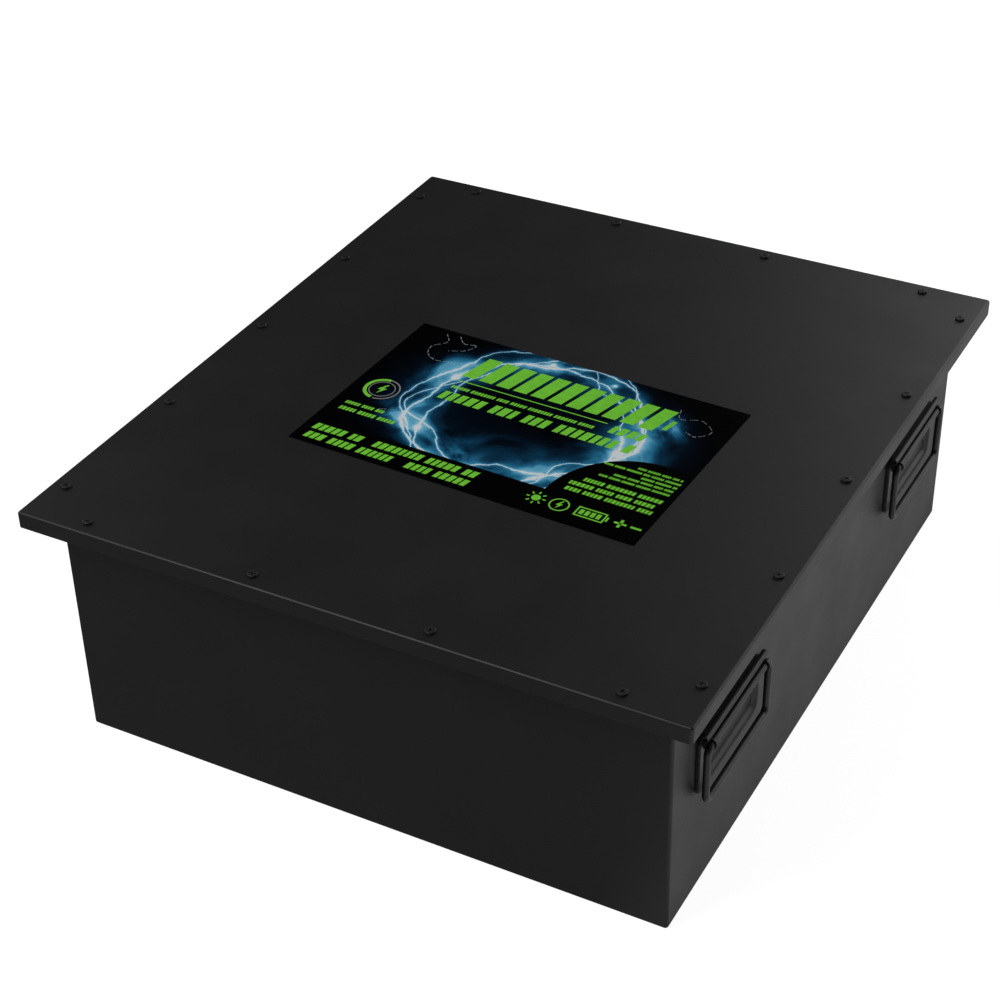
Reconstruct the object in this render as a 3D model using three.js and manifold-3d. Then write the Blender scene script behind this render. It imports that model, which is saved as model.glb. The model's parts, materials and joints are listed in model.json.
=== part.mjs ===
// Sealed lithium battery pack: a folded steel tub with sixty prismatic cells, closed by a screwed-on
// pan lid, with four folding bail handles on its side walls.
//
// Millimetres. X runs across the pack, Y from its front to its rear and Z up.
// The origin is the centre of the tub's underside.

import * as THREE from 'three';
import { mergeVertices } from 'three/addons/utils/BufferGeometryUtils.js';
import Module from 'manifold-3d';

const wasm = await Module();
wasm.setup();

// ---------------------------------------------------------------------------------------------
// Driving dimensions
// ---------------------------------------------------------------------------------------------

const packHeight = 310.5;
const fitGap = 0.3;
const steelSheet = 2;

const lid = { width: 800, length: 915, skirt: 20, corner: 4, edgeRadius: 3 };
const lidOverhang = 33;
const gasket = { thickness: 2.7, inset: 1.5 };
const tub = {
  width: lid.width - 2 * lidOverhang,
  length: lid.length - 2 * lidOverhang,
  corner: 4,
  flangeThickness: steelSheet,
  flangeReach: 30,
};

const lidScrew = { headRadius: 5.8, headHeight: 3.4, shankRadius: 3, shankLength: 12 };
const lidScrewInset = 18.8;
const endRowScrewX = [-318, -106, 106, 318];
const sideColumnScrewY = [-394, -197, 0, 197, 394];
const collar = { radius: 5.5, height: 6 };

const label = { width: 442, length: 293, thickness: 0.4, corner: 2, x: 10.5, y: -60.5, turn: -2.3 };

const handle = {
  spacing: 560,
  middleY: -4.7,
  hingeHeight: 206.3,
  plateWidth: 161,
  plateHeight: 79,
  plateTopAboveHinge: 8.7,
  plateCorner: 12,
  plateDepth: 4,
  plateBorder: 12,
  panelDepth: 1.5,
  bailWidth: 161.5,
  bailHeight: 71,
  bailCorner: 9,
  rodDiameter: 8,
  hingeOut: 12,
  curlRadius: 4,
  curlLength: 158,
  curlOut: 7.7,
  earThickness: 3,
  earOffset: 70,
  earRadius: 6.2,
  screwOffset: 48,
  screwDrop: 28,
};
const handleScrew = { headRadius: 5, headHeight: 3.2, shankRadius: 2.5, shankLength: 9 };
const weldNut = { radius: 6, height: 4 };

const cell = { width: 174, pitch: 54, height: 205, perRow: 15, seam: 1.2 };
const rowPitch = 177;
const rowCount = 4;
const terminal = { offset: 55, size: 24, height: 3 };
const floorSheet = 2;
const endPlate = {
  thickness: 12,
  topGap: 5,
  pocketDepth: 7,
  pocketHeight: 78,
  pocketRows: 2,
  rib: 14,
  post: 24,
};

const busbar = { carrier: 2, thickness: 3, width: 30, overlap: 14, edgeGap: 3 };
const shelf = { width: 690, length: 178, thickness: 3, rim: 7, frontY: 180, legHeight: 8, legSize: 16 };

const blade = { width: 24, thickness: 3, height: 24 };
const fuse = { left: 68, right: 164, bodyLength: 56, radius: 17, capLength: 9, capLip: 1.5 };
const contactor = {
  left: 170,
  width: 76,
  bodyWidth: 52,
  length: 60,
  height: 52,
  foot: 4,
  plugRadius: 9,
  plugHeight: 32,
};
const shunt = { left: -226, right: -122, blockLength: 34, blockWidth: 36, stripPitch: 8, foot: 4 };
const management = { width: 128, length: 150, height: 34, x: -28, flange: 5, headers: 4, headerDepth: 14 };
const cable = { radius: 6.5, lugWidth: 20, lugLength: 30, eyeSize: 18, eyeThickness: 8 };
const riser = { bendBehindShelf: 6, landing: 8 };

const powerSocket = { flange: 58, flangeDepth: 4, radius: 21, reach: 24, wall: 4, pin: 6, neck: 12, x: 260 };
const socketStud = { radius: 5, reach: 22 };
const commsSocket = { flange: 32, flangeDepth: 3, radius: 10, reach: 16, wall: 1.6, neck: 14, x: 20 };
const socketFloor = 6;
const ventValve = { hexRadius: 14, hexDepth: 7, capRadius: 11, reach: 12, neckRadius: 8.8, neck: 12, x: 110 };
const earthStud = {
  radius: 4,
  reach: 20,
  inside: 10,
  washerRadius: 9.5,
  washer: 2,
  nutRadius: 7.5,
  nut: 7,
  x: -110,
};
const socketHeight = 250;

// ---------------------------------------------------------------------------------------------
// Heights and places worked out from them
// ---------------------------------------------------------------------------------------------

const lidUnderside = packHeight - steelSheet;
const skirtBottom = packHeight - lid.skirt;
const gasketTop = lidUnderside - fitGap;
const flangeTop = gasketTop - gasket.thickness - fitGap;
const tubInsideX = tub.width / 2 - steelSheet;
const tubInsideY = tub.length / 2 - steelSheet;
const rearWallY = tub.length / 2;

const floorSheetBottom = steelSheet + fitGap;
const cellBottom = floorSheetBottom + floorSheet + fitGap;
const cellTop = cellBottom + cell.height;
const cellBlockLength = cell.perRow * cell.pitch;
const cellBlockWidth = (rowCount - 1) * rowPitch + cell.width;
const carrierBottom = cellTop + terminal.height + fitGap;
const carrierTop = carrierBottom + busbar.carrier;
const busbarTop = carrierTop + busbar.thickness;
const shelfBottom = busbarTop + fitGap + shelf.legHeight;
const shelfTop = shelfBottom + shelf.thickness;
const shelfMidY = shelf.frontY + shelf.length / 2;

const deviceBottom = shelfTop + fitGap;
const bladeHeight = deviceBottom + blade.height;
const chainY = shelfMidY + 30;
const lugSeat = bladeHeight + 1.5 * blade.thickness + fitGap;

const collectorY = cellBlockLength / 2 - cell.pitch / 2;
const innerColumnX = rowPitch / 2 + terminal.offset;
const outerColumnX = rowPitch / 2 - terminal.offset;
const farColumnX = 1.5 * rowPitch + terminal.offset;
const nearFarColumnX = 1.5 * rowPitch - terminal.offset;

// The bail rod's half width over the corners of its octagonal section.
const rodReach = handle.rodDiameter / 2 / Math.cos(Math.PI / 8);

const lidScrewX = lid.width / 2 - lidScrewInset;
const lidScrewY = lid.length / 2 - lidScrewInset;

// Tools that cut right through a sheet reach this far past it.
const cutReach = 40;

// Sides of every screw shank and of the holes and collars round it.
const shankSides = 6;

// ---------------------------------------------------------------------------------------------
// Finishes
// ---------------------------------------------------------------------------------------------

const blackPowderCoat = { color: 0x1b1c1e, roughness: 0.55, metalness: 0.1 };
const blackEnamel = { color: 0x242527, roughness: 0.4, metalness: 0.3 };
const blackScrew = { color: 0x2a2b2d, roughness: 0.4, metalness: 0.7 };
const foamRubber = { color: 0x141414, roughness: 0.9, metalness: 0 };
const labelFilm = { color: 0x0a0d12, roughness: 0.35, metalness: 0 };
const cellWrap = { color: 0x2c4a73, roughness: 0.45, metalness: 0 };
const millAluminium = { color: 0xb4b6b8, roughness: 0.4, metalness: 0.9 };
const laminateSheet = { color: 0xb9a36a, roughness: 0.7, metalness: 0 };
const carrierPlastic = { color: 0xd8d6cc, roughness: 0.5, metalness: 0 };
const shelfPlastic = { color: 0x8e2f22, roughness: 0.6, metalness: 0 };
const copperBar = { color: 0xb87349, roughness: 0.35, metalness: 0.95 };
const orangeCable = { color: 0xe0701c, roughness: 0.5, metalness: 0 };
const blackCable = { color: 0x18191a, roughness: 0.5, metalness: 0 };
const relayBlack = { color: 0x202226, roughness: 0.45, metalness: 0 };
const fuseCeramic = { color: 0xd9d4c6, roughness: 0.5, metalness: 0 };
const socketOrange = { color: 0xd8651a, roughness: 0.45, metalness: 0 };
const socketBlack = { color: 0x1c1d20, roughness: 0.45, metalness: 0 };
const nickelPlate = { color: 0xb8b4a8, roughness: 0.3, metalness: 0.95 };

// ---------------------------------------------------------------------------------------------
// Joining and cutting
// ---------------------------------------------------------------------------------------------

// A closed three.js geometry as a manifold solid, without the flat triangles at a lathe's poles.
function solidOf(geometry) {
  const bare = geometry.clone();
  bare.deleteAttribute('normal');
  bare.deleteAttribute('uv');
  const merged = mergeVertices(bare, 1e-4);
  const corners = merged.index.array;
  const kept = [];
  for (let i = 0; i < corners.length; i += 3) {
    const [a, b, c] = [corners[i], corners[i + 1], corners[i + 2]];
    if (a !== b && b !== c && c !== a) {
      kept.push(a, b, c);
    }
  }
  return new wasm.Manifold(new wasm.Mesh({
    numProp: 3,
    vertProperties: new Float32Array(merged.attributes.position.array),
    triVerts: new Uint32Array(kept),
  }));
}

function geometryOf(solid) {
  const mesh = solid.getMesh();
  const geometry = new THREE.BufferGeometry();
  geometry.setAttribute('position', new THREE.BufferAttribute(mesh.vertProperties, 3));
  geometry.setIndex(new THREE.BufferAttribute(mesh.triVerts, 1));
  geometry.computeVertexNormals();
  return geometry;
}

function joined(geometries) {
  return geometries.map(solidOf).reduce((whole, next) => whole.add(next));
}

function cutBy(solid, geometries) {
  return geometries.map(solidOf).reduce((rest, tool) => rest.subtract(tool), solid);
}

// ---------------------------------------------------------------------------------------------
// Basic shapes
// ---------------------------------------------------------------------------------------------

// A rectangle with round corners, centred on the origin, as a shape or as the path of a hole.
function roundedOutline(Outline, width, length, radius) {
  const outline = new Outline();
  const x = width / 2 - radius;
  const y = length / 2 - radius;
  const quarter = Math.PI / 2;
  outline.absarc(x, y, radius, 0, quarter);
  outline.absarc(-x, y, radius, quarter, 2 * quarter);
  outline.absarc(-x, -y, radius, 2 * quarter, 3 * quarter);
  outline.absarc(x, -y, radius, 3 * quarter, 4 * quarter);
  outline.closePath();
  return outline;
}

function prism(shape, bottom, top, curveSegments = 2) {
  const raise = { depth: top - bottom, bevelEnabled: false, curveSegments };
  return new THREE.ExtrudeGeometry(shape, raise).translate(0, 0, bottom);
}

function roundedPrism(width, length, radius, bottom, top) {
  return prism(roundedOutline(THREE.Shape, width, length, radius), bottom, top);
}

function block(width, length, bottom, top, x = 0, y = 0) {
  return new THREE.BoxGeometry(width, length, top - bottom).translate(x, y, (bottom + top) / 2);
}

function roundBar(radius, bottom, top, x = 0, y = 0, sides = 12) {
  const bar = new THREE.CylinderGeometry(radius, radius, top - bottom, sides);
  return bar.rotateX(Math.PI / 2).translate(x, y, (bottom + top) / 2);
}

function barAlongY(radius, front, rear, x, z, sides = 14) {
  const bar = new THREE.CylinderGeometry(radius, radius, rear - front, sides);
  return bar.translate(x, (front + rear) / 2, z);
}

function barAlongX(radius, left, right, y, z, sides = 16) {
  const bar = new THREE.CylinderGeometry(radius, radius, right - left, sides);
  return bar.rotateZ(Math.PI / 2).translate((left + right) / 2, y, z);
}

// Strip of constant width folded along a path in the YZ plane, given as corner points [y, z].
function foldedStrip(width, thickness, x, points) {
  const runs = [];
  for (let i = 0; i + 1 < points.length; i += 1) {
    const [y0, z0] = points[i];
    const [y1, z1] = points[i + 1];
    const length = Math.abs(y1 - y0) + thickness;
    const height = Math.abs(z1 - z0) + thickness;
    const run = new THREE.BoxGeometry(width, length, height);
    runs.push(run.translate(x, (y0 + y1) / 2, (z0 + z1) / 2));
  }
  return runs;
}

// ---------------------------------------------------------------------------------------------
// Fasteners
// ---------------------------------------------------------------------------------------------

// Pan head screw standing along Z, with the underside of its head at Z = 0.
function panScrew({ headRadius, headHeight, shankRadius, shankLength }) {
  const headSides = 10;
  const profile = [
    new THREE.Vector2(0, 0),
    new THREE.Vector2(headRadius, 0),
    new THREE.Vector2(headRadius, headHeight * 0.5),
    new THREE.Vector2(headRadius * 0.7, headHeight),
    new THREE.Vector2(0, headHeight),
  ];
  const head = new THREE.LatheGeometry(profile, headSides).rotateX(Math.PI / 2);
  const shank = roundBar(shankRadius, -shankLength, headHeight * 0.3, 0, 0, shankSides);
  return geometryOf(joined([head, shank]));
}

// ---------------------------------------------------------------------------------------------
// Housing
// ---------------------------------------------------------------------------------------------

// Every lid screw's place in plan, with the name of its screw.
function lidScrewPlaces() {
  const places = [];
  endRowScrewX.forEach((x, i) => {
    places.push({ name: `lid_screw_front_${i + 1}`, x, y: -lidScrewY });
    places.push({ name: `lid_screw_rear_${i + 1}`, x, y: lidScrewY });
  });
  sideColumnScrewY.forEach((y, i) => {
    places.push({ name: `lid_screw_left_${i + 1}`, x: -lidScrewX, y });
    places.push({ name: `lid_screw_right_${i + 1}`, x: lidScrewX, y });
  });
  return places;
}

function lidScrewHoles(extraRadius, bottom, top) {
  const radius = lidScrew.shankRadius + extraRadius;
  return lidScrewPlaces().map(({ x, y }) => roundBar(radius, bottom, top, x, y, shankSides));
}

// Each handle's centre on its wall: side is 1 on the right wall and -1 on the left one.
function handlePlaces() {
  const places = [];
  for (const [sideName, side] of [['right', 1], ['left', -1]]) {
    for (const [endName, end] of [['front', -1], ['rear', 1]]) {
      places.push({ name: `${endName}_${sideName}`, side, y: handle.middleY + end * handle.spacing / 2 });
    }
  }
  return places;
}

// Everything that stands in the rear wall, as the hole it needs.
function rearWallHoles() {
  const needs = [
    { radius: powerSocket.radius, x: powerSocket.x },
    { radius: powerSocket.radius, x: -powerSocket.x },
    { radius: commsSocket.radius, x: commsSocket.x },
    { radius: ventValve.neckRadius, x: ventValve.x },
    { radius: earthStud.radius, x: earthStud.x },
  ];
  return needs.map(({ radius, x }) => (
    barAlongY(radius + 2 * fitGap, rearWallY - cutReach, rearWallY + cutReach, x, socketHeight)
  ));
}

// Folded and welded tub with an outward flange, threaded collars under it and weld nuts inside.
function makeTub() {
  const flangeBottom = flangeTop - tub.flangeThickness;
  const flangeWidth = tub.width + 2 * tub.flangeReach;
  const flangeLength = tub.length + 2 * tub.flangeReach;
  const shell = joined([
    roundedPrism(tub.width, tub.length, tub.corner, 0, flangeTop),
    roundedPrism(flangeWidth, flangeLength, tub.corner, flangeBottom, flangeTop),
    ...lidScrewPlaces().map(({ x, y }) => (
      roundBar(collar.radius, flangeBottom - collar.height, flangeTop - 1, x, y, shankSides)
    )),
  ]);
  const cavity = roundedPrism(
    2 * tubInsideX, 2 * tubInsideY, tub.corner - steelSheet, steelSheet, flangeTop + 1,
  );
  const nuts = [];
  const nutHoles = [];
  for (const { side, y } of handlePlaces()) {
    const wallX = side * tub.width / 2;
    const nutX = side * (tubInsideX - weldNut.height);
    for (const offset of [-handle.screwOffset, handle.screwOffset]) {
      const z = handle.hingeHeight - handle.screwDrop;
      const [left, right] = [Math.min(wallX - side, nutX), Math.max(wallX - side, nutX)];
      const holeRadius = handleScrew.shankRadius + 2 * fitGap;
      const [inside, outside] = [wallX - cutReach, wallX + cutReach];
      nuts.push(barAlongX(weldNut.radius, left, right, y + offset, z, shankSides));
      nutHoles.push(barAlongX(holeRadius, inside, outside, y + offset, z, shankSides));
    }
  }
  const open = cutBy(shell, [cavity, ...lidScrewHoles(fitGap, flangeBottom - cutReach, flangeTop + 1)]);
  const withNuts = open.add(joined(nuts));
  return geometryOf(cutBy(withNuts, [...nutHoles, ...rearWallHoles()]));
}

function makeGasket() {
  const outerWidth = tub.width + 2 * (tub.flangeReach - gasket.inset);
  const outerLength = tub.length + 2 * (tub.flangeReach - gasket.inset);
  const ring = roundedOutline(THREE.Shape, outerWidth, outerLength, tub.corner);
  const innerWidth = tub.width + 2 * gasket.inset;
  const innerLength = tub.length + 2 * gasket.inset;
  ring.holes.push(roundedOutline(THREE.Path, innerWidth, innerLength, tub.corner));
  const strip = solidOf(prism(ring, gasketTop - gasket.thickness, gasketTop));
  return geometryOf(cutBy(strip, lidScrewHoles(2 * fitGap, gasketTop - cutReach, gasketTop + 1)));
}

// Pan lid: a flat sheet whose edge turns down into a skirt over a small bend radius.
function makeLid() {
  const shape = roundedOutline(THREE.Shape, lid.width, lid.length, lid.corner);
  const slab = new THREE.ExtrudeGeometry(shape, {
    depth: lid.skirt,
    bevelThickness: lid.edgeRadius,
    bevelSize: lid.edgeRadius,
    bevelOffset: -lid.edgeRadius,
    bevelSegments: 3,
    curveSegments: 2,
  }).translate(0, 0, skirtBottom - lid.edgeRadius);
  const below = block(2 * lid.width, 2 * lid.length, skirtBottom - cutReach, skirtBottom);
  const hollow = roundedPrism(
    lid.width - 2 * steelSheet, lid.length - 2 * steelSheet,
    lid.corner - steelSheet, skirtBottom - 1, lidUnderside,
  );
  const holes = lidScrewHoles(fitGap, lidUnderside - 1, packHeight + 1);
  return geometryOf(cutBy(solidOf(slab), [below, hollow, ...holes]));
}

function makeLabel() {
  return roundedPrism(label.width, label.length, label.corner, 0, label.thickness);
}

// ---------------------------------------------------------------------------------------------
// Handles, each in its own frame: X along the wall, Y up and Z out, from the hinge on the wall
// ---------------------------------------------------------------------------------------------

// The plate's outline, shrunk by inset on all sides.
function plateOutline(inset) {
  const top = handle.plateTopAboveHinge - inset;
  const bottom = handle.plateTopAboveHinge - handle.plateHeight + inset;
  const half = handle.plateWidth / 2 - inset;
  const radius = Math.max(handle.plateCorner - inset, 4);
  const quarter = Math.PI / 2;
  const shape = new THREE.Shape();
  shape.absarc(half - radius, top - radius, radius, 0, quarter);
  shape.absarc(-half + radius, top - radius, radius, quarter, 2 * quarter);
  shape.absarc(-half + radius, bottom + radius, radius, 2 * quarter, 3 * quarter);
  shape.absarc(half - radius, bottom + radius, radius, 3 * quarter, 4 * quarter);
  shape.closePath();
  return shape;
}

// One upright ear, a ring round the bail's hinge bar on a neck that grows out of the plate's rim.
function plateEar(side) {
  const root = fitGap + 1;
  const profile = new THREE.Shape();
  profile.moveTo(root, -handle.plateBorder);
  profile.absarc(handle.hingeOut, 0, handle.earRadius, -Math.PI / 2, 2 * Math.PI / 3);
  profile.lineTo(root, handle.earRadius);
  profile.closePath();
  const sheet = { depth: handle.earThickness, bevelEnabled: false, curveSegments: 6 };
  const ear = new THREE.ExtrudeGeometry(profile, sheet);
  const turn = new THREE.Matrix4().makeBasis(
    new THREE.Vector3(0, 0, 1), new THREE.Vector3(0, 1, 0), new THREE.Vector3(-1, 0, 0),
  );
  ear.applyMatrix4(turn);
  return ear.translate(side * handle.earOffset + handle.earThickness / 2, 0, 0);
}

// The wall plate: a pressed sheet with a sunk panel, a curl along its top edge, just above the
// bail's hinge bar, and two ears that carry that bar.
function makeHandlePlate() {
  const back = fitGap;
  const front = fitGap + handle.plateDepth;
  const panelFront = fitGap + handle.panelDepth;
  const plate = cutBy(
    solidOf(prism(plateOutline(0), back, front)),
    [prism(plateOutline(handle.plateBorder), panelFront, front + 1)],
  );
  const curlEnd = handle.curlLength / 2;
  const curlHeight = handle.plateTopAboveHinge;
  const curl = barAlongX(handle.curlRadius, -curlEnd, curlEnd, curlHeight, handle.curlOut, 8);
  const ears = joined([plateEar(-1), plateEar(1)]);
  const barHole = barAlongX(rodReach + 1.5 * fitGap, -curlEnd, curlEnd, 0, handle.hingeOut, 12);
  const holeRadius = handleScrew.shankRadius + fitGap;
  const screwHoles = [-1, 1].map((side) => (
    roundBar(holeRadius, back - 1, front + 1, side * handle.screwOffset, -handle.screwDrop, shankSides)
  ));
  const fitted = plate.add(solidOf(curl)).add(ears.subtract(solidOf(barHole)));
  return geometryOf(cutBy(fitted, screwHoles));
}

// Closed rod loop. Its cross-section is a regular octagon.
function makeBail() {
  const flat = handle.rodDiameter * Math.tan(Math.PI / 8);
  const bend = handle.rodDiameter / 2 - flat / 2;
  const ring = roundedOutline(
    THREE.Shape, handle.bailWidth + flat, handle.bailHeight + flat, handle.bailCorner + flat / 2,
  );
  ring.holes.push(roundedOutline(
    THREE.Path, handle.bailWidth - flat, handle.bailHeight - flat, handle.bailCorner - flat / 2,
  ));
  const loop = new THREE.ExtrudeGeometry(ring, {
    depth: flat, bevelThickness: bend, bevelSize: bend, bevelSegments: 1, curveSegments: 2,
  });
  return geometryOf(solidOf(loop.translate(0, -handle.bailHeight / 2, handle.hingeOut - flat / 2)));
}

// ---------------------------------------------------------------------------------------------
// Cells and their clamping
// ---------------------------------------------------------------------------------------------

// One row of prismatic cells bonded face to face, with two terminal pads on each cell.
function makeCellRow() {
  const core = block(
    cell.width - 2 * cell.seam, cellBlockLength - cell.seam, cellBottom, cellTop - cell.seam,
  );
  const pieces = [core];
  for (let i = 0; i < cell.perRow; i += 1) {
    const y = (i + 0.5) * cell.pitch - cellBlockLength / 2;
    pieces.push(block(cell.width, cell.pitch - cell.seam, cellBottom, cellTop, 0, y));
    for (const x of [-terminal.offset, terminal.offset]) {
      pieces.push(block(terminal.size, terminal.size, cellTop - 1, cellTop + terminal.height, x, y));
    }
  }
  return geometryOf(joined(pieces));
}

function makeFloorSheet() {
  const length = cellBlockLength + 2 * endPlate.thickness;
  return block(cellBlockWidth, length, floorSheetBottom, floorSheetBottom + floorSheet);
}

// Pressure plate at one end of the four rows, lightened by pockets between its ribs.
function makeEndPlate(end) {
  const inner = cellBlockLength / 2 + fitGap;
  const outer = inner + endPlate.thickness;
  const top = cellTop - endPlate.topGap;
  const middle = end * (inner + outer) / 2;
  const plate = solidOf(block(cellBlockWidth, endPlate.thickness, cellBottom, top, 0, middle));
  const pocketWidth = rowPitch - endPlate.post;
  const pocketY = end * (outer - endPlate.pocketDepth / 2 + 0.5);
  const pockets = [];
  for (let row = 0; row < rowCount; row += 1) {
    const x = (row - (rowCount - 1) / 2) * rowPitch;
    for (let level = 0; level < endPlate.pocketRows; level += 1) {
      const bottom = cellBottom + endPlate.rib + level * (endPlate.pocketHeight + endPlate.rib);
      const pocketTop = bottom + endPlate.pocketHeight;
      pockets.push(block(pocketWidth, endPlate.pocketDepth + 1, bottom, pocketTop, x, pocketY));
    }
  }
  return geometryOf(cutBy(plate, pockets));
}

// ---------------------------------------------------------------------------------------------
// Current path: busbars on their carrier, fuse, contactor, shunt and cables
// ---------------------------------------------------------------------------------------------

// Insulating carrier over all four rows with its busbars laminated on. Rows pair up in parallel, and the
// links between neighbouring cells alternate between a pair's inner and outer terminal columns.
function makeBusbarCarrier() {
  const bottom = carrierTop - 1;
  const linkLength = cell.pitch + 2 * busbar.overlap;
  const sheetWidth = cellBlockWidth - 2 * busbar.edgeGap;
  const sheetLength = cellBlockLength - 2 * busbar.edgeGap;
  const pieces = [block(sheetWidth, sheetLength, carrierBottom, carrierTop)];
  for (let i = 0; i + 1 < cell.perRow; i += 1) {
    const y = (i + 1) * cell.pitch - cellBlockLength / 2;
    for (const side of [-1, 1]) {
      if (i % 2 === 1) {
        const width = nearFarColumnX - innerColumnX + busbar.width;
        const x = side * (nearFarColumnX + innerColumnX) / 2;
        pieces.push(block(width, linkLength, bottom, busbarTop, x, y));
      } else {
        pieces.push(block(busbar.width, linkLength, bottom, busbarTop, side * outerColumnX, y));
        pieces.push(block(busbar.width, linkLength, bottom, busbarTop, side * farColumnX, y));
      }
    }
  }
  const crossLength = 2 * nearFarColumnX + busbar.width;
  pieces.push(block(crossLength, busbar.width, bottom, busbarTop, 0, -collectorY));
  const collectorLength = farColumnX - outerColumnX + busbar.width;
  for (const side of [-1, 1]) {
    const x = side * (farColumnX + outerColumnX) / 2;
    pieces.push(block(collectorLength, busbar.width, bottom, busbarTop, x, collectorY));
  }
  return geometryOf(joined(pieces));
}

// Shelf that carries the electronics over the rear of the cells, on short legs, with a low rim.
function makeShelf() {
  const pieces = [block(shelf.width, shelf.length, shelfBottom, shelfTop, 0, shelfMidY)];
  for (const side of [-1, 1]) {
    const rimX = side * (shelf.width / 2 - shelf.thickness / 2);
    pieces.push(block(shelf.thickness, shelf.length, shelfBottom, shelfTop + shelf.rim, rimX, shelfMidY));
    const rimY = shelfMidY + side * (shelf.length / 2 - shelf.thickness / 2);
    pieces.push(block(shelf.width, shelf.thickness, shelfBottom, shelfTop + shelf.rim, 0, rimY));
    for (const x of [-1.5 * rowPitch, -0.5 * rowPitch, 0.5 * rowPitch, 1.5 * rowPitch]) {
      const legY = shelfMidY + side * (shelf.length / 2 - shelf.legSize);
      pieces.push(block(shelf.legSize, shelf.legSize, busbarTop + fitGap, shelfTop - 1, x, legY));
    }
  }
  return geometryOf(joined(pieces));
}

// Management unit: a flat case with a raised cover and a row of plug headers along its front.
function makeManagementUnit() {
  const { width, length, height, x, flange, headers, headerDepth } = management;
  const sideStep = 5;
  const endStep = 11;
  const pieces = [
    block(width, length, deviceBottom, deviceBottom + flange, x, shelfMidY),
    block(width - 2 * sideStep, length - 2 * endStep, deviceBottom, deviceBottom + height, x, shelfMidY),
  ];
  const pitch = (width - 16) / headers;
  const headerY = shelfMidY - length / 2 + endStep - 1;
  for (let i = 0; i < headers; i += 1) {
    const headerX = x + (i - (headers - 1) / 2) * pitch;
    const bottom = deviceBottom + flange + 1;
    pieces.push(block(pitch - 6, headerDepth, bottom, bottom + headerDepth, headerX, headerY));
  }
  return geometryOf(joined(pieces));
}

// Bolted cartridge fuse: a ceramic barrel lying along X between two end caps with flat blades.
function makeFuse() {
  const { left, right, bodyLength, radius, capLength, capLip } = fuse;
  const middle = (left + right) / 2;
  const bodyLeft = middle - bodyLength / 2;
  const bodyRight = middle + bodyLength / 2;
  const barrelSides = 12;
  return geometryOf(joined([
    barAlongX(radius, bodyLeft, bodyRight, chainY, bladeHeight, barrelSides),
    barAlongX(radius + capLip, bodyLeft - 1, bodyLeft + capLength, chainY, bladeHeight, barrelSides),
    barAlongX(radius + capLip, bodyRight - capLength, bodyRight + 1, chainY, bladeHeight, barrelSides),
    new THREE.BoxGeometry(right - left, blade.width, blade.thickness).translate(middle, chainY, bladeHeight),
  ]));
}

// Contactor: a potted block with its two contact blades at the sides and a coil plug in front.
function makeContactor() {
  const { bodyWidth, length, height, foot, plugRadius, plugHeight } = contactor;
  const x = contactor.left + contactor.width / 2;
  const plugFront = chainY - length / 2 - plugRadius + 1;
  const plugZ = deviceBottom + plugHeight;
  const bladeBottom = lugSeat - blade.thickness;
  const bladeReach = bodyWidth / 2 + contactor.width / 2;
  return geometryOf(joined([
    block(bodyWidth + 8, length + 16, deviceBottom, deviceBottom + foot, x, chainY),
    block(bodyWidth, length, deviceBottom, deviceBottom + height, x, chainY),
    barAlongY(plugRadius, plugFront, chainY, x, plugZ, 8),
    block(2 * bladeReach - 24, blade.width, bladeBottom, lugSeat, x, chainY),
  ]));
}

// Shunt: two end blocks joined by thin resistance strips on an insulating post.
function makeShunt() {
  const { left, right, blockLength, blockWidth, stripPitch, foot } = shunt;
  const middle = (left + right) / 2;
  const blockBottom = bladeHeight - blade.thickness / 2;
  const pieces = [left + blockLength / 2, right - blockLength / 2].map((x) => (
    block(blockLength, blockWidth, blockBottom, lugSeat, x, chainY)
  ));
  const stripLength = right - left - blockLength;
  for (const step of [-1.5, -0.5, 0.5, 1.5]) {
    const y = chainY + step * stripPitch;
    pieces.push(block(stripLength, 2, bladeHeight - 1, bladeHeight + 5, middle, y));
  }
  pieces.push(block(30, blockWidth + 4, deviceBottom, deviceBottom + foot, middle, chainY));
  pieces.push(block(16, blockWidth - 6, deviceBottom, bladeHeight + 2, middle, chainY));
  return geometryOf(joined(pieces));
}

// Copper strap from a collector busbar up to the underside of a device's blade.
function makeRiser(x) {
  const low = busbarTop + fitGap + blade.thickness / 2;
  const high = bladeHeight - blade.thickness - fitGap;
  const bendY = shelf.frontY + shelf.length + riser.bendBehindShelf;
  const corners = [
    [collectorY + riser.landing, low],
    [bendY, low],
    [bendY, high],
    [chainY - riser.landing, high],
  ];
  return geometryOf(joined(foldedStrip(blade.width - 2, blade.thickness, x, corners)));
}

// Heavy cable with a flat lug at each end, swept along a smooth curve.
function makeCable(points, lugs) {
  const path = new THREE.CatmullRomCurve3(points.map(([x, y, z]) => new THREE.Vector3(x, y, z)));
  const round = new THREE.Shape();
  round.absarc(0, 0, cable.radius, 0, 2 * Math.PI);
  const sweep = { steps: 10, bevelEnabled: false, extrudePath: path, curveSegments: 4 };
  return geometryOf(joined([new THREE.ExtrudeGeometry(round, sweep), ...lugs]));
}

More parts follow.
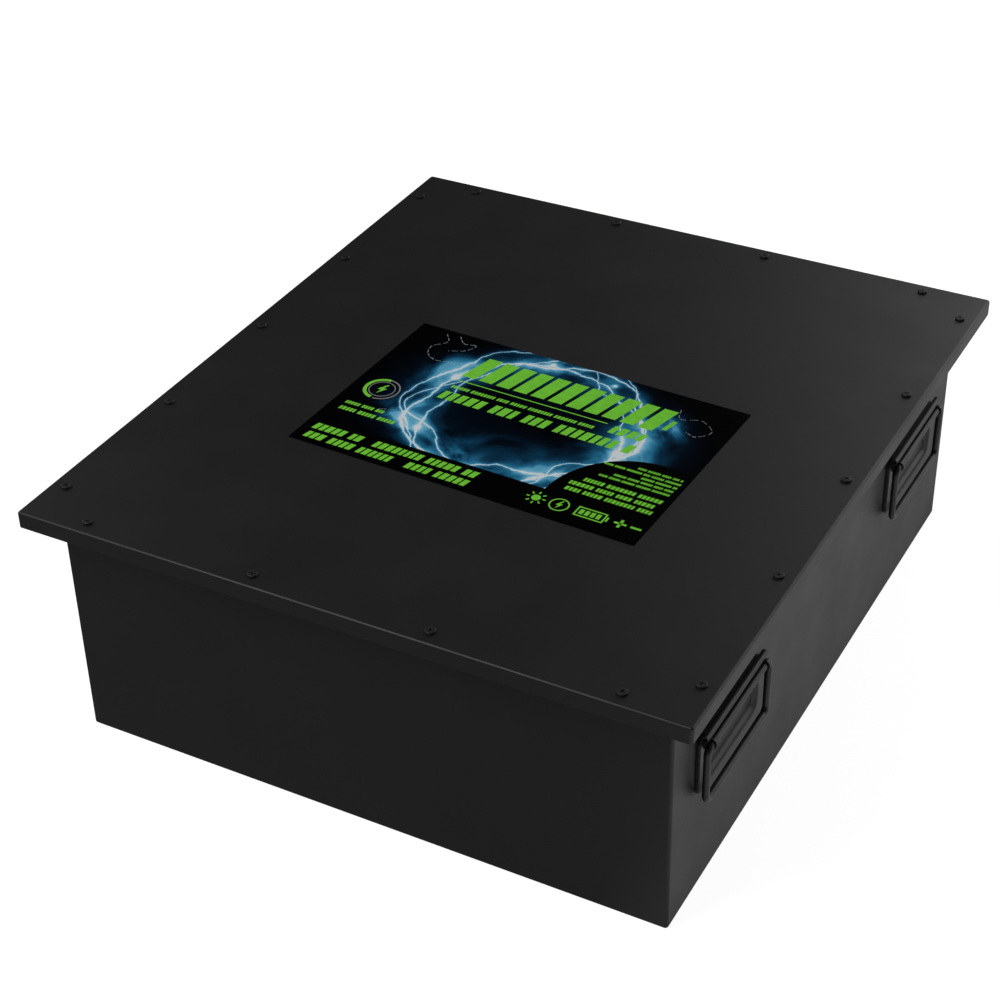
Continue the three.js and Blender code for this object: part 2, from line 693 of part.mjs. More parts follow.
// The cable from a device's blade to the stud of the power socket on the same side.
function makePowerCable(side, bladeX) {
  const socketX = side * powerSocket.x;
  const studEnd = rearWallY - steelSheet - socketStud.reach;
  const cableZ = bladeHeight + 2 * blade.thickness + cable.radius + 2;
  const eyeY = studEnd - fitGap - cable.eyeThickness / 2 - 2;
  const points = [
    [bladeX, chainY, cableZ],
    [bladeX, chainY + 25, cableZ],
    [(bladeX + socketX) / 2, chainY + 55, cableZ + 4],
    [socketX, eyeY - 20.7, socketHeight + 12],
    [socketX, eyeY - 2.7, socketHeight],
  ];
  const frontLug = block(cable.lugWidth, cable.lugLength, lugSeat + fitGap, cableZ, bladeX, chainY);
  const eye = new THREE.BoxGeometry(cable.eyeSize, cable.eyeThickness, cable.eyeSize);
  return makeCable(points, [frontLug, eye.translate(socketX, eyeY, socketHeight)]);
}

// ---------------------------------------------------------------------------------------------
// Rear wall fittings
// ---------------------------------------------------------------------------------------------

// A square flange on the wall's outer face.
function socketFlange({ flange, flangeDepth }, x, face) {
  const plate = new THREE.BoxGeometry(flange, flangeDepth, flange);
  return plate.translate(x, face + flangeDepth / 2, socketHeight);
}

// Single-pole bulkhead power socket: a square flange and open barrel outside, a stud inside.
function makePowerSocket(side) {
  const { radius, reach, wall, pin, neck } = powerSocket;
  const x = side * powerSocket.x;
  const face = rearWallY + fitGap;
  const mouth = face + reach;
  const studEnd = rearWallY - steelSheet - socketStud.reach;
  const body = joined([
    socketFlange(powerSocket, x, face),
    barAlongY(radius, rearWallY - neck, mouth, x, socketHeight),
  ]);
  const bore = barAlongY(radius - wall, face + socketFloor, mouth + 1, x, socketHeight);
  const contact = barAlongY(pin, face, mouth - 5, x, socketHeight, 8);
  const stud = barAlongY(socketStud.radius, studEnd, face, x, socketHeight, 8);
  return geometryOf(cutBy(body, [bore]).add(solidOf(contact)).add(solidOf(stud)));
}

// Multi-pole signal socket: a smaller flange with a round shell.
function makeCommsSocket() {
  const { radius, reach, wall, neck, x } = commsSocket;
  const face = rearWallY + fitGap;
  const mouth = face + reach;
  const body = joined([
    socketFlange(commsSocket, x, face),
    barAlongY(radius, rearWallY - neck, mouth, x, socketHeight, 12),
  ]);
  const bore = barAlongY(radius - wall, face + socketFloor, mouth + 1, x, socketHeight, 12);
  return geometryOf(cutBy(body, [bore]));
}

// Pressure relief vent: a hexagonal flange with a round cap and a threaded neck through the wall.
function makeVent() {
  const { hexRadius, hexDepth, capRadius, reach, neckRadius, neck, x } = ventValve;
  const face = rearWallY + fitGap;
  return geometryOf(joined([
    barAlongY(hexRadius, face, face + hexDepth, x, socketHeight, 6),
    barAlongY(capRadius, face, face + reach, x, socketHeight, 16),
    barAlongY(neckRadius, rearWallY - neck, face + 1, x, socketHeight, 12),
  ]));
}

// Earth stud: a threaded post through the wall with a washer and a hexagonal nut run down on it.
function makeEarthStud() {
  const { radius, reach, inside, washerRadius, washer, nutRadius, nut, x } = earthStud;
  const face = rearWallY + fitGap;
  return geometryOf(joined([
    barAlongY(radius, rearWallY - inside, face + reach, x, socketHeight, 10),
    barAlongY(washerRadius, face, face + washer, x, socketHeight, 12),
    barAlongY(nutRadius, face + washer - 1, face + washer + nut - 1, x, socketHeight, 6),
  ]));
}

// ---------------------------------------------------------------------------------------------
// Assembly
// ---------------------------------------------------------------------------------------------

const pack = new THREE.Group();

function addPiece(parent, name, geometry, finish) {
  const piece = new THREE.Mesh(geometry, new THREE.MeshStandardMaterial(finish));
  piece.name = name;
  parent.add(piece);
  return piece;
}

addPiece(pack, 'tub', makeTub(), blackPowderCoat);
addPiece(pack, 'lid_gasket', makeGasket(), foamRubber);
addPiece(pack, 'lid', makeLid(), blackPowderCoat);

const labelPiece = addPiece(pack, 'lid_label', makeLabel(), labelFilm);
labelPiece.position.set(label.x, label.y, packHeight + 0.1);
labelPiece.rotation.z = THREE.MathUtils.degToRad(label.turn);

const lidScrewGeometry = panScrew(lidScrew);
for (const { name, x, y } of lidScrewPlaces()) {
  addPiece(pack, name, lidScrewGeometry, blackScrew).position.set(x, y, packHeight + fitGap / 2);
}

const plateGeometry = makeHandlePlate();
const bailGeometry = makeBail();
const handleScrewGeometry = panScrew(handleScrew);
for (const { name, side, y } of handlePlaces()) {
  const onWall = new THREE.Group();
  const alongWall = new THREE.Vector3(0, side, 0);
  const up = new THREE.Vector3(0, 0, 1);
  const out = new THREE.Vector3(side, 0, 0);
  onWall.setRotationFromMatrix(new THREE.Matrix4().makeBasis(alongWall, up, out));
  onWall.position.set(side * tub.width / 2, y, handle.hingeHeight);
  addPiece(onWall, `handle_plate_${name}`, plateGeometry, blackEnamel);
  addPiece(onWall, `handle_bail_${name}`, bailGeometry, blackEnamel);
  ['a', 'b'].forEach((letter, i) => {
    const screw = addPiece(onWall, `handle_screw_${name}_${letter}`, handleScrewGeometry, blackScrew);
    const offset = (2 * i - 1) * handle.screwOffset;
    screw.position.set(offset, -handle.screwDrop, 2 * fitGap + handle.panelDepth);
  });
  pack.add(onWall);
}

addPiece(pack, 'floor_sheet', makeFloorSheet(), laminateSheet);
const cellRowGeometry = makeCellRow();
for (let row = 0; row < rowCount; row += 1) {
  const piece = addPiece(pack, `cell_row_${row + 1}`, cellRowGeometry, cellWrap);
  piece.position.x = (row - (rowCount - 1) / 2) * rowPitch;
}
addPiece(pack, 'end_plate_front', makeEndPlate(-1), millAluminium);
addPiece(pack, 'end_plate_rear', makeEndPlate(1), millAluminium);
addPiece(pack, 'busbar_carrier', makeBusbarCarrier(), carrierPlastic);

addPiece(pack, 'electronics_shelf', makeShelf(), shelfPlastic);
addPiece(pack, 'management_unit', makeManagementUnit(), millAluminium);
addPiece(pack, 'main_fuse', makeFuse(), fuseCeramic);
addPiece(pack, 'contactor', makeContactor(), relayBlack);
addPiece(pack, 'current_shunt', makeShunt(), nickelPlate);
addPiece(pack, 'positive_riser', makeRiser(fuse.left + blade.width / 4), copperBar);
addPiece(pack, 'negative_riser', makeRiser(shunt.right - blade.width / 2), copperBar);
addPiece(pack, 'positive_cable', makePowerCable(1, contactor.left + contactor.width + 4), orangeCable);
addPiece(pack, 'negative_cable', makePowerCable(-1, shunt.left + 12), blackCable);

addPiece(pack, 'positive_socket', makePowerSocket(1), socketOrange);
addPiece(pack, 'negative_socket', makePowerSocket(-1), socketBlack);
addPiece(pack, 'comms_socket', makeCommsSocket(), nickelPlate);
addPiece(pack, 'vent_valve', makeVent(), socketBlack);
addPiece(pack, 'earth_stud', makeEarthStud(), nickelPlate);

export default pack;
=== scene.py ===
"""Looks of the sealed battery pack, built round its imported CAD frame. Metres, +Z up."""
import json
import math
import random

import bmesh
import bpy
from mathutils import Matrix, Vector


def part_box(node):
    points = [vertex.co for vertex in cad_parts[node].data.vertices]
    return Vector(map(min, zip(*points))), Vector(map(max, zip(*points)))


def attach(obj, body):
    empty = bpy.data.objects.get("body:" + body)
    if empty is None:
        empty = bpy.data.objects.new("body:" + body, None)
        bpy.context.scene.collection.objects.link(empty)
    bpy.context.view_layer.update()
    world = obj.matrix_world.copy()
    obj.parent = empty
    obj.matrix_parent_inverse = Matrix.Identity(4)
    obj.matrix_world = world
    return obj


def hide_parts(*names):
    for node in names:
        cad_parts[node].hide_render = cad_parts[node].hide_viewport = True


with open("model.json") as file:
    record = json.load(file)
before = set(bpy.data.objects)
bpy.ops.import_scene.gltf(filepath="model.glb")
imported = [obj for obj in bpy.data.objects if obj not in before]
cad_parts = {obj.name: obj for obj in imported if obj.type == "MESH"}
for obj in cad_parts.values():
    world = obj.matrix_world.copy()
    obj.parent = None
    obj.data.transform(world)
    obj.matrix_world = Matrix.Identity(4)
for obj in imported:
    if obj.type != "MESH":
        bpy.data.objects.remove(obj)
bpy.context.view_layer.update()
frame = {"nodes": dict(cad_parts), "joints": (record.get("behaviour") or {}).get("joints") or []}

MM = 0.001
QUARTER = math.pi / 2
ALONG_Y = Matrix.Rotation(-QUARTER, 4, "X")
SHARP_ANGLE = math.radians(35)
CORNERS = [(sx, sy) for sx in (-1, 1) for sy in (-1, 1)]
LID_BODY = "lid_assembly"


def spun(angle, axis):
    """A rotation about one of the axes."""
    return Matrix.Rotation(angle, 4, axis)


def middle_of(name):
    """The middle of a CAD node's box."""
    low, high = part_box(name)
    return (low + high) / 2


# ---- Places read from the frame ----

SHEET = 2 * MM
lid_low, lid_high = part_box("lid")
tub_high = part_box("tub")[1]
seal_low, seal_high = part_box("lid_gasket")
label_low, label_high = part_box("lid_label")

shelf_low, shelf_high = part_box("electronics_shelf")
fuse_low, fuse_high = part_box("main_fuse")
socket_low, socket_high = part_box("positive_socket")

# Heights and lines shared by the power devices, in millimetres.
blade_z = (fuse_low.z + fuse_high.z) / 2 / MM
chain_y = (fuse_low.y + fuse_high.y) / 2 / MM
seat_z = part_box("current_shunt")[1].z / MM
socket_z = (socket_low.z + socket_high.z) / 2 / MM
stud_end = socket_low.y / MM

CORNER = 4 * MM
FLANGE_REACH = 30 * MM
wall_x = tub_high.x - FLANGE_REACH
wall_y = tub_high.y - FLANGE_REACH

BAIL_JOINTS = {joint["child"]: joint for joint in frame["joints"] if joint["type"] == "hinge"}
HANDLES = [
    (f"{end}_{side}", sign) for side, sign in (("right", 1), ("left", -1)) for end in ("front", "rear")
]


# ---- Outlines: lists of points in a plane ----

def arc(x, y, radius, start, end, steps):
    """Points on an arc round (x, y), from one angle to another, both ends included."""
    turns = [start + (end - start) * i / steps for i in range(steps + 1)]
    return [(x + radius * math.cos(turn), y + radius * math.sin(turn)) for turn in turns]


def rounded(half_x, half_y, radius, steps=6):
    """A rectangle with round corners, centred on the origin."""
    x = half_x - radius
    y = half_y - radius
    points = []
    for i, (sx, sy) in enumerate(((1, 1), (-1, 1), (-1, -1), (1, -1))):
        points += arc(sx * x, sy * y, radius, i * QUARTER, (i + 1) * QUARTER, steps)
    return points


def filleted(corners, steps):
    """A polygon with round corners. Each corner is (x, y, radius)."""
    points = []
    for i, (x, y, radius) in enumerate(corners):
        here = Vector((x, y))
        back = (Vector(corners[i - 1][:2]) - here).normalized()
        ahead = (Vector(corners[(i + 1) % len(corners)][:2]) - here).normalized()
        half = back.angle(ahead) / 2
        middle = (back + ahead).normalized()
        centre = here + middle * radius / math.sin(half)
        start = here + back * radius / math.tan(half) - centre
        end = here + ahead * radius / math.tan(half) - centre
        sweep = start.angle_signed(end)
        for step in range(steps + 1):
            points.append(centre + Matrix.Rotation(-sweep * step / steps, 2) @ start)
    return [(point.x, point.y) for point in points]


def filleted_run(points, radius):
    """The given corners as a run of points, the inner ones rounded."""
    run = [points[0]]
    for before, here, after in zip(points, points[1:], points[2:]):
        corner = filleted([(*before, 0.1 * MM), (*here, radius), (*after, 0.1 * MM)], steps=4)
        run += corner[5:10]
    return run + [points[-1]]


def at_height(outline, z):
    """The outline as points in space at height z."""
    return [Vector((x, y, z)) for x, y in outline]


# ---- Mesh building ----

def skin(bm, rings, loop=False, slot=0):
    """Rings of equally many points joined by quads: closed into a loop, or capped at both ends."""
    rows = [[bm.verts.new(point) for point in ring] for ring in rings]
    faces = []
    if loop:
        rows.append(rows[0])
    else:
        faces = [bm.faces.new(rows[0][::-1]), bm.faces.new(rows[-1])]
    for low, high in zip(rows, rows[1:]):
        for i in range(len(low)):
            j = (i + 1) % len(low)
            faces.append(bm.faces.new((low[i], low[j], high[j], high[i])))
    for face in faces:
        face.material_index = slot


def lathe(bm, profile, sides, place=Matrix(), closed=False):
    """A profile of (radius, height) points turned round Z, then put in place. Radius 0 is a pole."""
    rows = []
    for radius, height in profile:
        turns = [2 * math.pi * i / sides for i in range(sides if radius > 0 else 1)]
        ring = [Vector((radius * math.cos(turn), radius * math.sin(turn), height)) for turn in turns]
        rows.append([bm.verts.new(place @ point) for point in ring])
    if closed:
        rows.append(rows[0])
    for low, high in zip(rows, rows[1:]):
        for i in range(sides):
            j = (i + 1) % sides
            corners = (low[i % len(low)], low[j % len(low)], high[j % len(high)], high[i % len(high)])
            different = list(dict.fromkeys(corners))
            if len(different) > 2:
                bm.faces.new(different)


def frame_prism(bm, outer, inner, bottom, top, place=Matrix()):
    """A band between two outlines of equally many points, raised from bottom to top."""
    ring = [(outer, bottom), (outer, top), (inner, top), (inner, bottom)]
    skin(bm, [[place @ point for point in at_height(line, z)] for line, z in ring], loop=True)


def soft_box(bm, low, high, radius, segments=2, place=Matrix()):
    """A box with its edges rounded."""
    low, high = Vector(low), Vector(high)
    fit = place @ Matrix.Translation((high + low) / 2) @ Matrix.Diagonal((*(high - low), 1))
    verts = bmesh.ops.create_cube(bm, size=1)["verts"]
    bmesh.ops.transform(bm, matrix=fit, verts=verts)
    edges = list(dict.fromkeys(edge for vert in verts for edge in vert.link_edges))
    bmesh.ops.bevel(bm, geom=edges, offset=radius, segments=segments, profile=0.5, affect="EDGES")


def tube(bm, points, radius, sides, loop=False, slot=0):
    """A round rod along a path, turned as little as possible from one point to the next."""
    points = [Vector(point) for point in points]
    count = len(points)
    rings = []
    across = None
    for i, point in enumerate(points):
        before = points[i - 1] if loop or i else point
        after = points[(i + 1) % count] if loop or i + 1 < count else point
        ahead = (after - before).normalized()
        if across is None:
            across = ahead.orthogonal().normalized()
        across = (across - ahead * across.dot(ahead)).normalized()
        side = ahead.cross(across)
        turns = [2 * math.pi * k / sides for k in range(sides)]
        rings.append([point + (across * math.cos(t) + side * math.sin(t)) * radius for t in turns])
    skin(bm, rings, loop=loop, slot=slot)


def smooth_path(points, steps):
    """A Catmull-Rom curve through the points."""
    knots = [Vector(point) for point in points]
    knots = [2 * knots[0] - knots[1]] + knots + [2 * knots[-1] - knots[-2]]
    path = []
    for a, b, c, d in zip(knots, knots[1:], knots[2:], knots[3:]):
        for step in range(steps):
            t = step / steps
            path.append(0.5 * (2 * b + (c - a) * t + (2 * a - 5 * b + 4 * c - d) * t ** 2
                               + (3 * b - a - 3 * c + d) * t ** 3))
    return path + [knots[-2]]


def blanks(count):
    """So many empty bmeshes."""
    return [bmesh.new() for _ in range(count)]


def mesh_of(bm, name):
    """The finished mesh of a bmesh, its faces all turned outward."""
    bmesh.ops.recalc_face_normals(bm, faces=bm.faces)
    mesh = bpy.data.meshes.new(name)
    bm.to_mesh(mesh)
    bm.free()
    return mesh


def new_object(name, data):
    """A new object in the scene."""
    made = bpy.data.objects.new(name, data)
    bpy.context.scene.collection.objects.link(made)
    return made


def carved(mesh, tools):
    """The mesh with a bmesh of closed tools cut out of it."""
    stock = new_object("stock", mesh)
    cutter = new_object("tools", mesh_of(tools, "tools"))
    cut = stock.modifiers.new("Cut", "BOOLEAN")
    cut.operation = "DIFFERENCE"
    cut.solver = "EXACT"
    cut.use_self = True
    cut.object = cutter
    shaped = stock.evaluated_get(bpy.context.evaluated_depsgraph_get())
    result = bpy.data.meshes.new_from_object(shaped)
    for item in (stock, cutter):
        bpy.data.objects.remove(item)
    return result


def add_piece(name, shape, finish, stands_for=None, place=Matrix(), body="box"):
    """A new piece from a bmesh or a mesh, in place on its body. Its slot is its finish's, or its finishes'
    when a list is given.
    """
    mesh = mesh_of(shape, name) if isinstance(shape, bmesh.types.BMesh) else shape
    finishes = finish if isinstance(finish, list) else [finish]
    if not mesh.materials or mesh.materials[0] is not finishes[0]:
        mesh.materials.clear()
        for material in finishes:
            mesh.materials.append(material)
        mesh.polygons.foreach_set("use_smooth", [True] * len(mesh.polygons))
        mesh.set_sharp_from_angle(angle=SHARP_ANGLE)
    piece = new_object(name, mesh)
    piece.matrix_world = place
    weighting = piece.modifiers.new("Weighted normals", "WEIGHTED_NORMAL")
    weighting.keep_sharp = True
    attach(piece, body)
    # Blender numbers a finish whose name the CAD's own material has already.
    if stands_for:
        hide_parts(stands_for)


# ---- Materials ----

class Finish:
    """A procedural material under construction: small helpers that add and join nodes."""

    def __init__(self, name, roughness=0.5, metallic=0.0, specular=0.5):
        self.material = bpy.data.materials.new(name)
        self.material.use_nodes = True
        self.tree = self.material.node_tree
        self.shader = self.tree.nodes["Principled BSDF"]
        self.feed(self.shader, {"Roughness": roughness, "Metallic": metallic, "Specular IOR Level": specular})
        self.place = self.add("ShaderNodeTexCoord").outputs["Object"]

    def feed(self, node, inputs):
        """Links or sets the inputs of a node, given by name or number."""
        for key, value in inputs.items():
            if isinstance(value, bpy.types.NodeSocket):
                self.tree.links.new(value, node.inputs[key])
            else:
                node.inputs[key].default_value = value

    def add(self, kind, inputs=None, **settings):
        """A new node with its inputs and settings."""
        node = self.tree.nodes.new(kind)
        for key, value in settings.items():
            setattr(node, key, value)
        self.feed(node, inputs or {})
        return node

    def maths(self, operation, a, b=0.0):
        return self.add("ShaderNodeMath", {0: a, 1: b}, operation=operation).outputs[0]

    def plus(self, a, b):
        return self.maths("ADD", a, b)

    def minus(self, a, b):
        return self.maths("SUBTRACT", a, b)

    def times(self, a, b):
        return self.maths("MULTIPLY", a, b)

    def split(self):
        """The place on the object as three numbers."""
        return self.add("ShaderNodeSeparateXYZ", {0: self.place}).outputs

    def stretched(self, scale):
        """The place on the object, scaled along each axis."""
        return self.add("ShaderNodeMapping", {"Vector": self.place, "Scale": scale}).outputs[0]

    def noise(self, scale, detail, vector=None, distortion=0.0):
        inputs = {"Vector": vector or self.place, "Scale": scale, "Detail": detail, "Distortion": distortion}
        return self.add("ShaderNodeTexNoise", inputs).outputs["Fac"]

    def ramp(self, value, stops):
        """A colour looked up by value between stops of (position, colour)."""
        node = self.add("ShaderNodeValToRGB", {0: value})
        elements = node.color_ramp.elements
        while len(elements) < len(stops):
            elements.new(0.5)
        for element, (position, colour) in zip(elements, stops):
            element.position = position
            element.color = (*colour, 1)
        return node.outputs[0]

    def spread(self, value, low, high, start=0.3, end=0.7):
        """A number between start and end, carried over to between low and high."""
        inputs = {"Value": value, "From Min": start, "From Max": end, "To Min": low, "To Max": high}
        return self.add("ShaderNodeMapRange", inputs).outputs[0]

    def colour(self, socket):
        self.feed(self.shader, {"Base Color": socket})

    def roughen(self, socket):
        self.feed(self.shader, {"Roughness": socket})

    def bump(self, height, strength, depth):
        """Relief on top of the relief the shader has already."""
        node = self.add("ShaderNodeBump", {"Height": height, "Strength": strength, "Distance": depth})
        before = self.shader.inputs["Normal"]
        if before.is_linked:
            self.feed(node, {"Normal": before.links[0].from_socket})
        self.feed(self.shader, {"Normal": node.outputs[0]})


def grey(level):
    return (level,) * 3


def mottled(name, dark, light, scale, rough, grain=None, metallic=0.0, specular=0.5):
    """A finish whose colour and roughness drift softly, with an optional (scale, strength, depth) grain."""
    finish = Finish(name, metallic=metallic, specular=specular)
    drift = finish.noise(scale, detail=4)
    finish.colour(finish.ramp(drift, [(0.3, dark), (0.7, light)]))
    finish.roughen(finish.spread(finish.noise(scale * 2.7, detail=3), *rough))
    if grain:
        grain_scale, strength, depth = grain
        finish.bump(finish.noise(grain_scale, detail=1), strength, depth)
    return finish


def powder_coat():
    """Satin black powder coat: fine orange peel over slow changes of sheen."""
    finish = mottled("box_coat", grey(0.0080), grey(0.0100), 5, (0.43, 0.5), (650, 0.10, 0.00012))
    finish.bump(finish.noise(2400, detail=1), 0.05, 0.00005)
    return finish.material


def enamel():
    """Black stove enamel on the handles, a little glossier than the box."""
    return mottled("handle_enamel", grey(0.0095), grey(0.0135), 30, (0.36, 0.44),
                   (900, 0.08, 0.00008)).material


def black_oxide():
    """Dull black of the screws, with the steel just showing through."""
    return mottled("screw_black", (0.013, 0.013, 0.0135), (0.020, 0.020, 0.0205), 160, (0.42, 0.54),
                   (2500, 0.10, 0.00004), metallic=0.15).material


def foam():
    """Closed-cell rubber seal with fine pores."""
    finish = mottled("seal_foam", grey(0.012), grey(0.020), 40, (0.82, 0.92))
    pores = finish.add("ShaderNodeTexVoronoi", {"Vector": finish.place, "Scale": 1400})
    finish.bump(pores.outputs["Distance"], 0.5, 0.0003)
    return finish.material


# The discharge printed on the label, in metres from its centre, which lies a little above the label's.
GLOW_CENTRE_Y = 0.014
GLOW_RADIUS = 0.126
GLOW_HAZE = 0.018
HAZE_CAP = 0.62
HALO_WIDTH = 7
HALO_STRENGTH = 0.20
CORE_STRENGTH = 0.75
# Strands of discharge: offset from the ring, width, and waves as (count, reach, phase).
GLOW_STRANDS = (
    (0.004, 0.0010, ((2, 0.008, 0.3), (5, 0.006, 1.9), (9, 0.002, 0.5))),
    (-0.009, 0.0007, ((3, 0.010, 2.2), (4, 0.007, 4.0), (11, 0.0015, 1.0))),
    (0.014, 0.0006, ((1, 0.008, 5.1), (6, 0.008, 0.8), (13, 0.0012, 2.7))),
    (-0.002, 0.0005, ((4, 0.016, 0.9), (7, 0.006, 3.3), (10, 0.002, 5.0))),
)
# Bright knots on the ring, as (angle, size).
GLOW_SPOTS = ((2.82, 0.0055), (1.83, 0.0030), (1.12, 0.0040), (-0.10, 0.0060), (-2.52, 0.0035))
# Clouds of haze, as (angle, distance from the centre, size, strength).
GLOW_CLOUDS = (
    (0.42, 0.160, 0.040, 1.10), (-0.22, 0.155, 0.036, 0.80), (1.25, 0.145, 0.040, 0.80),
    (2.75, 0.155, 0.036, 0.90), (-2.72, 0.145, 0.038, 0.80), (-1.75, 0.100, 0.044, 0.50),
    (-0.95, 0.105, 0.036, 0.55), (0.05, 0.120, 0.024, 0.70), (1.85, 0.140, 0.040, 0.80),
)


def glow_film():
    """Printed film: a ring of cold blue discharge, drawn by formulas, fading to black at the edges."""
    finish = Finish("label_film", specular=0.015)
    maths, plus, minus, times = finish.maths, finish.plus, finish.minus, finish.times
    finish.roughen(finish.spread(finish.noise(60, detail=3), 0.30, 0.40))
    place = finish.split()
    x = place[0]
    y = minus(place[1], GLOW_CENTRE_Y)

    def length(dx, dy):
        return maths("SQRT", plus(times(dx, dx), times(dy, dy)))

    def falloff(distance, width):
        """1 at no distance, a half at the width, fading slowly beyond it."""
        ratio = maths("DIVIDE", distance, width)
        return maths("DIVIDE", 1.0, plus(times(ratio, ratio), 1.0))

    def round_spot(angle, away, size, power):
        centre_x = minus(x, away * math.cos(angle))
        centre_y = minus(y, away * math.sin(angle))
        return maths("POWER", falloff(length(centre_x, centre_y), size), power)

    turn_round = maths("ARCTAN2", y, x)
    jitter = minus(finish.noise(70, detail=4), 0.5)
    from_ring = minus(length(x, y), GLOW_RADIUS)
    smoke = finish.spread(finish.noise(17, detail=6, distortion=0.8), 0.16, 1.0, start=0.36, end=0.68)
    fade = finish.spread(length(x, times(y, 1.5)), 1.0, 0.0, start=0.165, end=0.225)
    light = times(falloff(from_ring, GLOW_HAZE), times(smoke, 0.55))
    for angle, away, size, strength in GLOW_CLOUDS:
        light = plus(light, times(times(round_spot(angle, away, size, 2.0), smoke), strength))
    light = maths("MINIMUM", times(light, fade), HAZE_CAP)
    cores = 0.0
    halos = 0.0
    for offset, width, waves in GLOW_STRANDS:
        wander = times(jitter, 0.010)
        for count, reach, phase in waves:
            wander = plus(wander, times(maths("SINE", plus(times(turn_round, count), phase)), reach))
        distance = minus(minus(from_ring, offset), wander)
        cores = maths("MAXIMUM", cores, falloff(distance, width))
        halos = maths("MAXIMUM", halos, falloff(distance, width * HALO_WIDTH))
    for angle, width in GLOW_SPOTS:
        cores = maths("MAXIMUM", cores, round_spot(angle, GLOW_RADIUS, width, 1.5))
    light = plus(plus(light, times(halos, HALO_STRENGTH)), times(cores, CORE_STRENGTH))
    finish.colour(finish.ramp(light, [
        (0.0, (0.0003, 0.0004, 0.0008)), (0.10, (0.001, 0.006, 0.014)), (0.28, (0.006, 0.055, 0.12)),
        (0.50, (0.03, 0.24, 0.44)), (0.75, (0.20, 0.62, 0.88)), (1.0, (0.90, 0.98, 1.0)),
    ]))
    return finish.material


def ink(name, colour):
    """Printing ink: a touch uneven in strength."""
    weak = tuple(0.86 * part for part in colour)
    return mottled(name, weak, colour, 120, (0.34, 0.46), specular=0.015).material


def plastic(name, colour, rough=(0.42, 0.52)):
    """Moulded plastic with a fine spark-eroded texture."""
    deep = tuple(0.82 * part for part in colour)
    return mottled(name, deep, colour, 25, rough, (700, 0.12, 0.0001)).material


def metal(name, dark, light, rough, grain):
    """Rolled or brushed metal: streaks along one direction in colour, roughness and relief."""
    finish = Finish(name, metallic=1.0)
    streaks = finish.noise(1, detail=3, vector=finish.stretched((40, 1500, 40)))
    clouds = finish.noise(35, detail=3)
    blend = finish.plus(finish.times(streaks, 0.6), finish.times(clouds, 0.4))
    finish.colour(finish.ramp(blend, [(0.35, dark), (0.65, light)]))
    finish.roughen(finish.spread(blend, *rough))
    finish.bump(streaks, *grain)
    return finish.material


def laminate(name, dark, light, thread=0.0011):
    """Woven glass laminate: two crossed sets of threads under resin."""
    finish = Finish(name)
    place = finish.split()
    across, along = (finish.maths("SINE", finish.times(place[i], 2 * math.pi / thread)) for i in range(2))
    weave = finish.spread(finish.times(across, along), 0, 1, start=-1, end=1)
    drift = finish.noise(18, detail=4)
    mix = finish.plus(finish.times(weave, 0.5), finish.times(drift, 0.5))
    finish.colour(finish.ramp(mix, [(0.25, dark), (0.75, light)]))
    finish.roughen(finish.spread(drift, 0.45, 0.6))
    finish.bump(weave, 0.15, 0.0001)
    return finish.material


def wrapped_film():
    """Blue shrink film on the cells, with faint wrinkles running round them."""
    finish = mottled("cell_wrap", (0.010, 0.055, 0.16), (0.015, 0.075, 0.21), 12, (0.26, 0.38))
    wrinkles = finish.noise(1, detail=4, vector=finish.stretched((30, 30, 140)), distortion=0.6)
    finish.bump(wrinkles, 0.35, 0.0006)
    return finish.material


BOX_COAT = powder_coat()
ENAMEL = enamel()
BLACK_OXIDE = black_oxide()
FOAM = foam()
FILM = glow_film()
INK_GREEN = ink("ink_green", (0.25, 0.84, 0.065))
INK_GREY = ink("ink_grey", grey(0.30))
INK_BLACK = ink("ink_black", (0.0006, 0.0006, 0.0007))
INK_WHITE = ink("ink_white", (0.62, 0.72, 0.78))
LAMINATE_SHEET = laminate("laminate_sheet", (0.10, 0.17, 0.07), (0.17, 0.26, 0.11))
WRAP = wrapped_film()
ALUMINIUM = metal("mill_aluminium", (0.50, 0.51, 0.52), (0.70, 0.71, 0.72), (0.30, 0.44), (0.10, 0.00004))
NICKEL = metal("nickel_plate", (0.52, 0.50, 0.46), (0.68, 0.66, 0.62), (0.22, 0.34), (0.06, 0.00003))
COPPER = metal("busbar_copper", (0.58, 0.24, 0.13), (0.80, 0.41, 0.25), (0.26, 0.40), (0.10, 0.00004))
SHUNT_ALLOY = metal("shunt_alloy", (0.36, 0.29, 0.22), (0.50, 0.42, 0.33), (0.30, 0.44), (0.10, 0.00003))
CARRIER = plastic("carrier_plastic", (0.016, 0.017, 0.018))
SHELF = laminate("shelf_laminate", (0.27, 0.045, 0.028), (0.40, 0.085, 0.05), thread=0.0016)
CERAMIC = plastic("fuse_ceramic", (0.70, 0.68, 0.61), rough=(0.22, 0.34))
RELAY = plastic("relay_plastic", (0.030, 0.031, 0.033))
ORANGE_CABLE = plastic("cable_orange", (0.78, 0.17, 0.012), rough=(0.38, 0.50))
BLACK_CABLE = plastic("cable_black", (0.014, 0.014, 0.015), rough=(0.40, 0.52))
ORANGE_SOCKET = plastic("socket_orange", (0.80, 0.19, 0.015), rough=(0.34, 0.46))
BLACK_SOCKET = plastic("socket_black", (0.018, 0.018, 0.019), rough=(0.36, 0.48))


# ---- Housing ----

def pan_ring(half_x, half_y, inset, z):
    """One loop of a folded pan: its outline moved in by inset, at height z."""
    corner = max(CORNER - max(inset, 0), 0.6 * MM)
    return at_height(rounded(half_x - inset, half_y - inset, corner, steps=8), z)


def screw_places():
    """Name and plan position of each lid screw."""
    names = sorted(name for name in frame["nodes"] if name.startswith("lid_screw_"))
    return [(name, middle_of(name)) for name in names]


